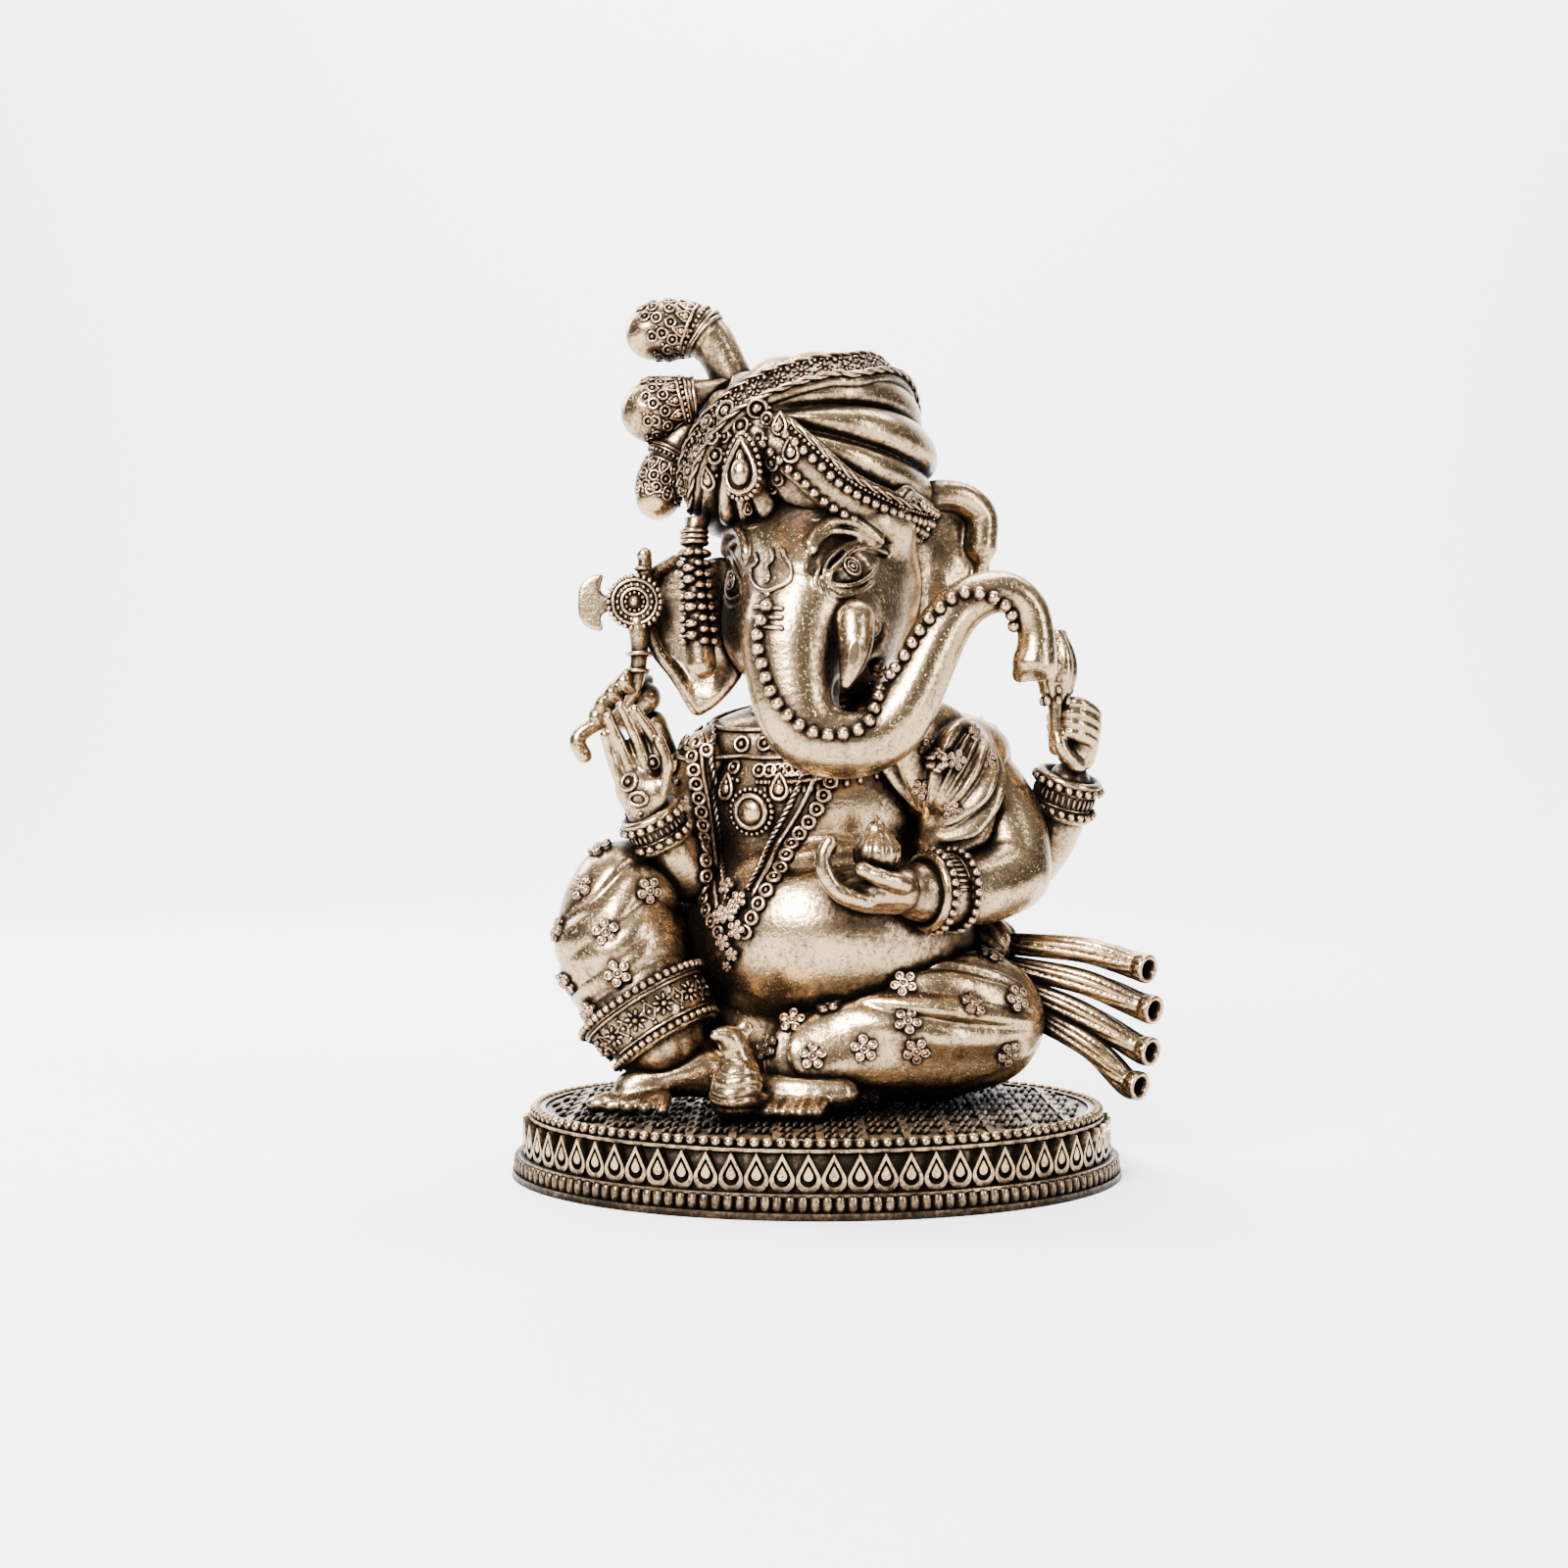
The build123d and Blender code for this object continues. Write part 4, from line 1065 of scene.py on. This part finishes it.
def sculpt_torso():
    """Chest and belly, with the fold between them."""
    clay = started("torso", 0.8, MEDIUM)
    # The fold under the chest.
    fold = [at("torso", *s) for s in ((0.28, 0.10, 0.53), (0.45, 0.13, 0.535), (0.62, 0.16, 0.55))]
    clay.limb(smooth_line(fold, 1.0), 1.3, 1.5, take_away=True)
    clay.soften(0.4)
    clay.piece("torso_cast", ["torso"])


def sculpt_legs():
    """Both trouser legs, creased and set with flowers."""
    clay = started("left_leg", 0.8)
    pleats(clay, at("left_leg", 0.04, 0.12, 0.80), at("left_leg", 0.98, 0.35, 0.50), 9, 2.0, 8.0, 0.28, 0.6)
    clay.soften(0.25)
    clay.piece("left_leg_cast", ["left_leg"])
    clay = started("right_leg", 0.8)
    furrows(clay, at("right_ankle_band", 0.5, 0.5, 0.5), (-0.40, 0.20, 0.88), (5.6, 9.0, 13.2, 18.5), 0.9, 0.7)
    clay.soften(0.25)
    clay.piece("right_leg_cast", ["right_leg"])
    flowers = Ornaments()
    scatter(flowers, Skin("left_leg_cast"), "left_leg", (
        (0.23, 0.66), (0.50, 0.75), (0.11, 0.51), (0.80, 0.94), (0.74, 0.62), (0.89, 0.66), (0.51, 0.51),
        (0.36, 0.34), (0.54, 0.33), (0.18, 0.29), (0.86, 0.31), (0.38, 0.07), (0.01, 0.36),
    ), 1.95, 0.7)
    scatter(flowers, Skin("right_leg_cast"), "right_leg", (
        (0.26, 0.96), (0.15, 0.80), (0.53, 0.79), (0.02, 0.63), (0.29, 0.62), (0.36, 0.45), (0.07, 0.41),
        (0.21, 0.27), (0.11, 0.26),
    ), 1.95, 0.9)
    flowers.piece("leg_flowers")


def sculpt_shawl():
    """Pleated cloth over the left shoulder and down the back, set with flowers."""
    low, high = node_box("shawl")
    arm_low, arm_high = node_box("left_front_arm")
    corners = (np.minimum(low, arm_low), np.maximum(high, arm_high))
    clay = Clay(*corners, FINE)
    clay.node("left_front_arm")
    clay.slab_off(at("left_front_arm", 0.50, 0, 0.36), (1, 0, -0.32), 0.5)
    clay.slab_off(at("left_front_arm", 0.5, 0, 0.46), (0.25, 0, -1), 0.5)
    clay.field -= 0.9
    clay.node("shawl", 1.5)
    clay.field -= 1.1
    clay.soften(0.8)
    clay.field += 0.9
    # One sheet of cloth under the folds, lying on the back.
    sheet = Clay(*corners, FINE)
    sheet.node("torso")
    sheet.field -= 1.2
    sheet.slab_off(at("shawl", 0.5, 0.50, 0.5), (0, -1, 0), 0.5)
    sheet.slab_off(at("shawl", 0.5, 0.5, 0.22), (-0.45, 0, -1), 0.5)
    sheet.slab_off(at("shawl", 0.5, 0.5, 0.86), (-0.5, 0, 1), 0.5)
    clay.field = blended(clay.field, sheet.field, 1.6)
    pleats(clay, at("shawl", 0.56, 0.0, 0.28), at("shawl", 0.92, 0.35, 1.0), 15, 1.9, 6.0, 0.2)
    clay.soften(0.22)
    clay.piece("shawl_cast", ["shawl"])
    skin = Skin("shawl_cast")
    flowers = Ornaments()
    front = ((0.84, 0.85), (0.69, 0.79), (0.78, 0.75), (0.88, 0.75), (0.67, 0.64), (0.77, 0.56))
    scatter(flowers, skin, "shawl", front, 1.5, 0.8)
    behind = ((0.2, 0.3), (0.5, 0.25), (0.8, 0.35), (0.3, 0.6), (0.65, 0.6), (0.9, 0.7), (0.15, 0.85))
    for across, upwards in behind:
        start = at("shawl", across, 2.0, upwards)
        flower(flowers, *skin.hit(start, (0, -1, 0)), 1.7, across * 9)
    flowers.piece("shawl_flowers")


def sculpt_sash():
    """Rolled tails that fan out from the knot and flare to open mouths, creased along their length."""
    for k in range(1, 5):
        name = f"sash_tail_{k}"
        low, high = node_box(name)
        clay = Clay(low - (3, 0, 0), high, voxel=FINE)
        mouth = np.array([high[0] - 2.3, low[1] + 2.4, low[2] + (2.2 if k > 1 else 2.6)])
        root = np.array([low[0] - 1.6, high[1] - 2.0, high[2] - 2.0])
        bend = root + (mouth - root) * 0.55 + (0.4, -0.4, 1.0)
        lead = mouth + (-1.3, 1.6, 0.3)
        facing = unit(mouth - lead)
        course = smooth_line([root, bend, lead, mouth], 0.6)
        thick = np.interp(np.linspace(0, 1, len(course)), (0, 0.5, 0.85, 1), (1.7, 1.9, 2.0, 2.15))
        clay.limb(course, thick, 0.6)
        pleats(clay, root - (mouth - root) * 0.5, mouth + (mouth - root) * 0.5, 9, 0.42, 1.5, 0.1)
        clay.slab_off(mouth + facing * 0.4, facing, 0.3)
        clay.limb([mouth - facing * 3.2, mouth + facing * 1.5], (1.1, 1.35), 0.2, take_away=True)
        clay.piece(name + "_cast", [name])
        rim = Ornaments()
        ring(rim, mouth + facing * 0.35, axes_on(facing), 1.72, 0.42, 1.0, 24)
        rim.piece(name + "_rim")
    clay = started("sash_knot", 0.4, MEDIUM)
    pleats(clay, at("sash_knot", 0.0, 1.0, 1.0), at("sash_knot", 1.0, 0.0, 0.0), 9, 0.9, 4.0)
    clay.piece("sash_knot_cast", ["sash_knot"])


def dress_ankle():
    """Bead rows, a flower strip and a lower bead row round the trouser hem."""
    clay = started("right_ankle_band", 0.25)
    clay.field += 0.15
    cast = clay.piece("right_ankle_band_cast", ["right_ankle_band"])
    skin = Skin(cast.name)
    centre = at("right_ankle_band", 0.5, 0.5, 0.48)
    axis = unit((0.52, -0.22, -0.82))
    jewels = Ornaments()
    for step, size, count in ((-4.0, 0.62, 50), (-3.0, 0.62, 50), (3.4, 0.55, 44)):
        bead_row(jewels, circle_on(skin, centre + axis * step, axis, 9.0, count), size)
    for step in (-2.1, 2.4):
        found = circle_on(skin, centre + axis * step, axis, 9.0, 60)
        jewels.wire([s + n * 0.1 for s, n in found], 0.28, closed=True, sides=6)
    found = circle_on(skin, centre + axis * 0.15, axis, 9.0, 24)
    for k, (spot, normal) in enumerate(found):
        if k % 2:
            daisy(jewels, spot, normal, 1.7)
        else:
            axes = axes_on(normal, axis)
            ring(jewels, spot, axes, 0.9, 0.24, 1.5, 4)
            jewels.bead(spot, 0.4, axes, 8)
            for way in (-1, 1):
                jewels.bead(spot + axes[1] * 1.7 * way, 0.32, axes, 6)
    jewels.piece("right_ankle_jewels")


# ---------------------------------------------------------------- hands and feet


def fingers(clay, node, lines, thick, fillet=0.35):
    """Jointed fingers through shares of the hand node's box, thinner to the tip."""
    for line in lines:
        spots = smooth_line([at(node, *share) for share in line], 0.5)
        share = np.linspace(0, 1, len(spots))
        radii = thick * (0.78 + 0.26 * share + 0.05 * np.cos(share * 5 * pi))
        clay.limb(spots, radii, fillet)


def sculpt_hands():
    """The open right palm, the left hand with its sweet, and the two hands that hold things."""
    clay = Clay(*node_box("right_front_hand"), voxel=FINE)
    hand = "right_front_hand"
    clay.ball(at(hand, 0.50, 0.48, 0.32), (3.5, 1.5, 4.0))
    clay.limb([at(hand, 0.62, 0.55, 0.06), at(hand, 0.52, 0.5, 0.30)], (2.8, 2.6), 1.0)
    clay.ball(at(hand, 0.72, 0.25, 0.25), (1.7, 1.2, 2.6), 0.8)
    clay.ball(at(hand, 0.52, 0.48, 0.55), (3.2, 0.9, 3.4), 0.6)
    fingers(clay, hand, (
        ((0.45, 0.26, 0.93), (0.70, 0.34, 0.70), (0.78, 0.38, 0.50)),
        ((0.27, 0.24, 0.955), (0.49, 0.32, 0.67), (0.60, 0.38, 0.46)),
        ((0.11, 0.26, 0.87), (0.31, 0.34, 0.59), (0.44, 0.38, 0.40)),
        ((0.06, 0.30, 0.73), (0.17, 0.40, 0.50), (0.30, 0.42, 0.32)),
        ((0.77, 0.12, 0.68), (0.88, 0.16, 0.49), (0.76, 0.30, 0.20)),
    ), 0.98, 0.12)
    clay.soften(0.2)
    clay.piece("right_front_hand_cast", [hand])
    skin = Skin("right_front_hand_cast")
    jewels = Ornaments()
    spot, normal = skin.seen(hand, 0.33, 0.36)
    ring(jewels, spot, axes_on(normal), 1.15, 0.38)
    jewels.bead(spot, 0.5, axes_on(normal), 8)
    spot, normal = skin.seen(hand, 0.45, 0.22)
    ring(jewels, spot, axes_on(normal), 1.3, 0.34, 0.7)
    spot, normal = skin.seen(hand, 0.66, 0.52)
    ring(jewels, spot, axes_on(normal), 0.9, 0.32)
    jewels.bead(spot + normal * 0.4, 0.55, axes_on(normal), 8)
    jewels.piece("palm_ornaments")

    hand = "left_front_hand"
    clay = Clay(*node_box(hand), voxel=FINE)
    clay.ball(at(hand, 0.62, 0.55, 0.30), (5.2, 4.4, 2.7), 0)
    clay.ball(at(hand, 0.85, 0.62, 0.34), (3.6, 3.6, 3.2), 1.0)
    rows = []
    for k in range(4):
        deep = 0.18 + 0.165 * k
        rows.append((
            (0.14, deep + 0.03, 0.93 - 0.03 * k), (0.07, deep, 0.76), (0.10, deep, 0.54), (0.24, deep, 0.33),
            (0.50, deep + 0.05, 0.22),
        ))
    rows.append(((0.46, 0.14, 0.60), (0.66, 0.13, 0.50), (0.88, 0.26, 0.42)))
    fingers(clay, hand, rows, 1.38, 0.25)
    clay.soften(0.2)
    clay.piece("left_front_hand_cast", [hand])

    clay = Clay(*node_box("modak"), voxel=FINE)
    low, high = node_box("modak")
    middle = (low + high) / 2
    clay.ball((middle[0], middle[1], low[2] + 3.2), (3.4, 3.4, 2.9))
    rise = [(middle[0], middle[1], low[2] + share * (high[2] - low[2])) for share in (0.48, 0.74, 0.97)]
    clay.limb(rise, (2.7, 1.5, 0.35), 1.0)
    pleats(clay, (middle[0], middle[1], high[2]), (middle[0], middle[1], low[2]), 9, 0.40, 2.6, 0.05)
    clay.piece("modak_cast", ["modak"])

    for hand, lines in (
        ("right_back_hand", (
            ((0.78, 0.9, 0.88), (0.58, 0.25, 0.93), (0.50, 0.10, 0.80), (0.62, 0.30, 0.66)),
            ((0.62, 0.9, 0.70), (0.42, 0.25, 0.76), (0.34, 0.10, 0.62), (0.46, 0.30, 0.50)),
            ((0.46, 0.9, 0.52), (0.27, 0.25, 0.58), (0.20, 0.12, 0.44), (0.32, 0.30, 0.33)),
            ((0.32, 0.9, 0.34), (0.14, 0.30, 0.40), (0.12, 0.16, 0.25), (0.24, 0.30, 0.17)),
        )),
        ("left_back_hand", (
            ((0.20, 0.35, 0.86), (0.50, 0.12, 0.92), (0.85, 0.30, 0.80), (0.85, 0.60, 0.60)),
            ((0.16, 0.35, 0.74), (0.46, 0.10, 0.79), (0.84, 0.28, 0.68), (0.85, 0.60, 0.48)),
            ((0.16, 0.35, 0.62), (0.44, 0.10, 0.66), (0.82, 0.28, 0.56), (0.82, 0.60, 0.38)),
            ((0.18, 0.35, 0.50), (0.44, 0.12, 0.53), (0.80, 0.30, 0.44), (0.80, 0.60, 0.28)),
            ((0.60, 0.30, 0.10), (0.30, 0.15, 0.30), (0.22, 0.20, 0.52)),
        )),
    ):
        clay = started(hand, 0.4)
        fingers(clay, hand, lines, 1.15, 0.2)
        clay.piece(hand + "_cast", [hand])


def sculpt_feet():
    for foot in ("right_foot", "left_foot"):
        plain_casting(foot, 0.35, FINE)


def sculpt_arms():
    for arm in ("right_front_arm", "left_front_arm", "right_back_arm", "left_back_arm"):
        plain_casting(arm, 0.6, MEDIUM)
    bracelet("right_front_bracelet", (-0.42, -0.30, 0.86), 3.6, 4.2)
    bracelet("left_front_bracelet", (-0.85, -0.52, 0), 4.7, 5.2)
    bracelet("left_back_bracelet", (0.26, -0.30, 0.92), 4.0, 5.0)


# ---------------------------------------------------------------- necklaces


def make_necklaces():
    """The long necklace and its pendant flowers, the round pendant, and the collar's rows."""
    chest = Skin("torso_cast", "right_front_arm_cast")
    jewels = Ornaments()
    for loops, rope, edge in (
        (((0.07, 0.82), (0.08, 0.73), (0.10, 0.62), (0.11, 0.51), (0.12, 0.43), (0.16, 0.38)),
         ((0.15, 0.84), (0.13, 0.77), (0.145, 0.68), (0.16, 0.60), (0.17, 0.52), (0.185, 0.45)),
         ((0.11, 0.84), (0.105, 0.74), (0.125, 0.63), (0.14, 0.52), (0.155, 0.43))),
        (((0.50, 0.71), (0.45, 0.64), (0.39, 0.58), (0.34, 0.51), (0.28, 0.44), (0.24, 0.38)),
         ((0.42, 0.73), (0.375, 0.66), (0.33, 0.60), (0.29, 0.53), (0.245, 0.47)),
         ((0.46, 0.73), (0.41, 0.655), (0.355, 0.59), (0.31, 0.52), (0.26, 0.455))),
    ):
        for spot, normal in chest.line("torso", loops, 2.1):
            axes = axes_on(normal)
            ring(jewels, spot + normal * 0.45, axes, 0.85, 0.36, 1.0, 12)
            jewels.bead(spot + normal * 0.35, (0.42, 0.42, 0.5), axes, 8)
        rope_line(jewels, chest.line("torso", rope, 0.33), 0.42)
        wire_line(jewels, chest.line("torso", edge, 0.8), 0.42, 0.7)
    jewels.piece("long_necklace_strands", ["long_necklace"])
    jewels = Ornaments()
    for share, size in (
        ((0.19, 0.475), 1.3), ((0.225, 0.445), 1.4), ((0.175, 0.415), 1.4), ((0.22, 0.385), 1.4),
        ((0.18, 0.36), 1.2), ((0.205, 0.335), 1.0), ((0.20, 0.42), 1.4), ((0.19, 0.31), 0.8),
    ):
        spot, normal = chest.seen("torso", *share)
        flower(jewels, spot + normal * 0.8, normal, size, share[1] * 30)
    jewels.piece("necklace_pendant_flowers", ["necklace_pendant"])
    jewels = Ornaments()
    spot, normal = chest.seen("torso", 0.26, 0.645)
    axes = axes_on(normal)
    ring(jewels, spot + normal * 0.7, axes, 2.3, 0.5, 1.0, 28)
    jewels.bead(spot + normal * 0.5, (2.0, 2.0, 1.1), axes, 18)
    for step in spokes(axes, 3.2, 24):
        jewels.bead(spot + normal * 0.4 + step, 0.42, axes, 8)
    jewels.piece("round_pendant_stone", ["round_pendant"])
    jewels = Ornaments()
    for share in ((0.185, 0.70), (0.345, 0.70)):
        spot, normal = chest.seen("torso", *share)
        drop(jewels, spot + normal * 0.5, axes_on(normal), 1.9, 1.6, 0.34)
    throat = at("collar_necklace", 0.5, 0.43, 0.50)
    tilt = np.array([-0.15, -0.42, 1.0])
    for lower, kind, size in (
        (-4.6, "beads", 0.42), (-3.4, "rings", 0.95), (-1.4, "wire", 0.40), (0.3, "rings", 1.05),
        (1.9, "wire", 0.34), (3.4, "rings", 0.9), (4.9, "beads", 0.42), (6.0, "drops", 0.9),
    ):
        count = int(74 / (2.35 * size)) if kind in ("rings", "drops") else 90
        found = circle_on(chest, throat - UP * lower, tilt, 13.0 + 0.4 * lower, count)
        if kind == "wire":
            jewels.wire([s + n * 0.25 for s, n in found], size, closed=True, sides=6)
        elif kind == "beads":
            bead_row(jewels, found, size)
        else:
            for spot, normal in found:
                axes = axes_on(normal)
                if kind == "rings":
                    ring(jewels, spot + normal * 0.3, axes, size, 0.32, 1.0, 14)
                    jewels.bead(spot + normal * 0.2, (size * 0.5, size * 0.5, 0.6), axes, 8)
                else:
                    jewels.bead(spot + normal * 0.2, (0.42, 0.75, 0.5), axes, 8)
    jewels.piece("collar_jewels", ["collar_necklace"])


# ---------------------------------------------------------------- things held, and the mouse


def sculpt_axe():
    """The axe, with rings and rows of beads on its round hub and collars on its haft."""
    plain_casting("axe", 0.2, FINE)
    jewels = Ornaments()
    hub = at("axe", 0.712, 0.0, 0.761) + (0, 1.0, 0)
    axes = axes_on((0, -1, 0))
    for radius in (3.2, 1.9):
        ring(jewels, hub, axes, radius, 0.3, 1.0, 30)
    for radius, count, size in ((3.75, 26, 0.42), (2.5, 18, 0.34), (1.3, 12, 0.28)):
        for step in spokes(axes, radius, count):
            jewels.bead(hub + step, size, None, 8)
    jewels.bead(hub - (0, 0.1, 0), 0.8, None, 10)
    jewels.bead(at("axe", 0.81, 0.5, 0.985), 1.15, None, 14)
    for share, radius in (((0.79, 0.5, 0.92), 0.9), ((0.76, 0.55, 0.52), 1.7), ((0.74, 0.6, 0.44), 1.5)):
        ring(jewels, at("axe", *share), np.eye(3), radius, 0.34)
    jewels.piece("axe_ornaments")


def sculpt_lotus():
    """The lotus bud, with columns of petals."""
    plain_casting("lotus_bud", 0.2, FINE)
    foot = at("lotus_bud", 0.5, 0.5, 0.0)
    top = at("lotus_bud", 0.5, 0.5, 1.0)[2]
    jewels = Ornaments()
    for column in range(8):
        turn = 2 * pi * column / 8
        for k in range(7):
            height = top - 1.0 - 1.6 * k
            reach = 1.1 + 1.2 * sin(pi * min(k, 5) / 7)
            spot = (foot[0] + reach * cos(turn), foot[1] + reach * sin(turn), height)
            jewels.bead(spot, (0.5, 0.5, 0.75), None, 8)
    jewels.piece("lotus_petals")


def sculpt_mouse():
    """The mouse at the feet, with ribs across its body."""
    clay = started("mouse", 0.3)
    low, _ = node_box("mouse")
    furrows(clay, low, (0.15, 0, 1.0), (2.2, 3.4, 4.6, 5.8, 7.0), 0.22, 0.28)
    clay.piece("mouse_cast", ["mouse"])


# ---------------------------------------------------------------- plinth


def copied(name, angle):
    """A casting with crisp machined edges, shaded smooth only where its faces nearly agree."""
    points, faces = triangles(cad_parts[name])
    obj = new_piece(name + "_cast", points, [tuple(int(i) for i in f) for f in faces], [name])
    obj.data.set_sharp_from_angle(angle=radians(angle))
    return obj


def weave_top():
    """Blocks of parallel ridges with smooth strips between them, like a woven cane seat."""
    low, high = node_box("base_woven_top")
    middle, half = (low + high) / 2, (high - low) / 2
    lean = unit((0.22, 1.0, 0))
    side = np.array([lean[1], -lean[0], 0])
    ridges = Ornaments()
    row_pitch, ridge_pitch, block = 4.3, 1.0, 5
    for row in range(-7, 8):
        for k in range(-45, 46):
            if k % (block + 1) == 0:
                continue
            x = (k + 3 * (row % 2)) * ridge_pitch
            y = row * row_pitch
            if (x / (half[0] - 1.2)) ** 2 + (y / (half[1] - 2.2)) ** 2 < 1:
                spot = (middle[0] + x, middle[1] + y, high[2] - 0.1)
                ridges.bead(spot, (0.34, 1.8, 0.42), (side, lean, UP), 8)
    ridges.piece("woven_ridges", material="dark_weave")


# ---------------------------------------------------------------- making


def plain_casting(name, rounding=0.5, voxel=MEDIUM):
    """A casting whose CAD form is right and only needs its edges softened."""
    return started(name, rounding, voxel).piece(name + "_cast", [name])


make_camera()
make_floor()
make_world()
target = Vector((0, 0, 0.06))
area_light("key", (-0.30, -0.50, 0.42), target, (0.26, 0.34), 15)
area_light("key_glint", (-0.20, -0.55, 0.40), target, (0.16, 0.24), 17, on_floor=False)
area_light("fill", (0.50, -0.40, 0.22), target, (0.10, 0.45), 3.5)
area_light("back_left", (-0.45, 0.35, 0.45), target, (0.2, 0.4), 5)
area_light("top", (0.05, 0.05, 0.75), target, (0.4, 0.4), 7)
area_light("backdrop", (0, 0.35, 1.1), Vector((0, 1.1, 0.5)), (1.6, 0.5), 65)

sculpt_torso()
sculpt_head()
sculpt_tusk()
sculpt_ears()
make_tassel()
sculpt_turban()
dress_plumes()
sculpt_legs()
sculpt_shawl()
sculpt_sash()
dress_ankle()
sculpt_arms()
sculpt_hands()
sculpt_feet()
make_necklaces()
sculpt_axe()
sculpt_lotus()
sculpt_mouse()
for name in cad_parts:
    if name.startswith("base_"):
        copied(name, 35)
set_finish(pieces["base_woven_top_cast"], "dark_weave")
weave_top()

looks = {name: metal(name, *colours) for name, colours in METALS.items()}
for obj in list(pieces.values()) + list(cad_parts.values()):
    obj.data.materials.clear()
    obj.data.materials.append(looks[obj.get("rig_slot", "antique_gold")])
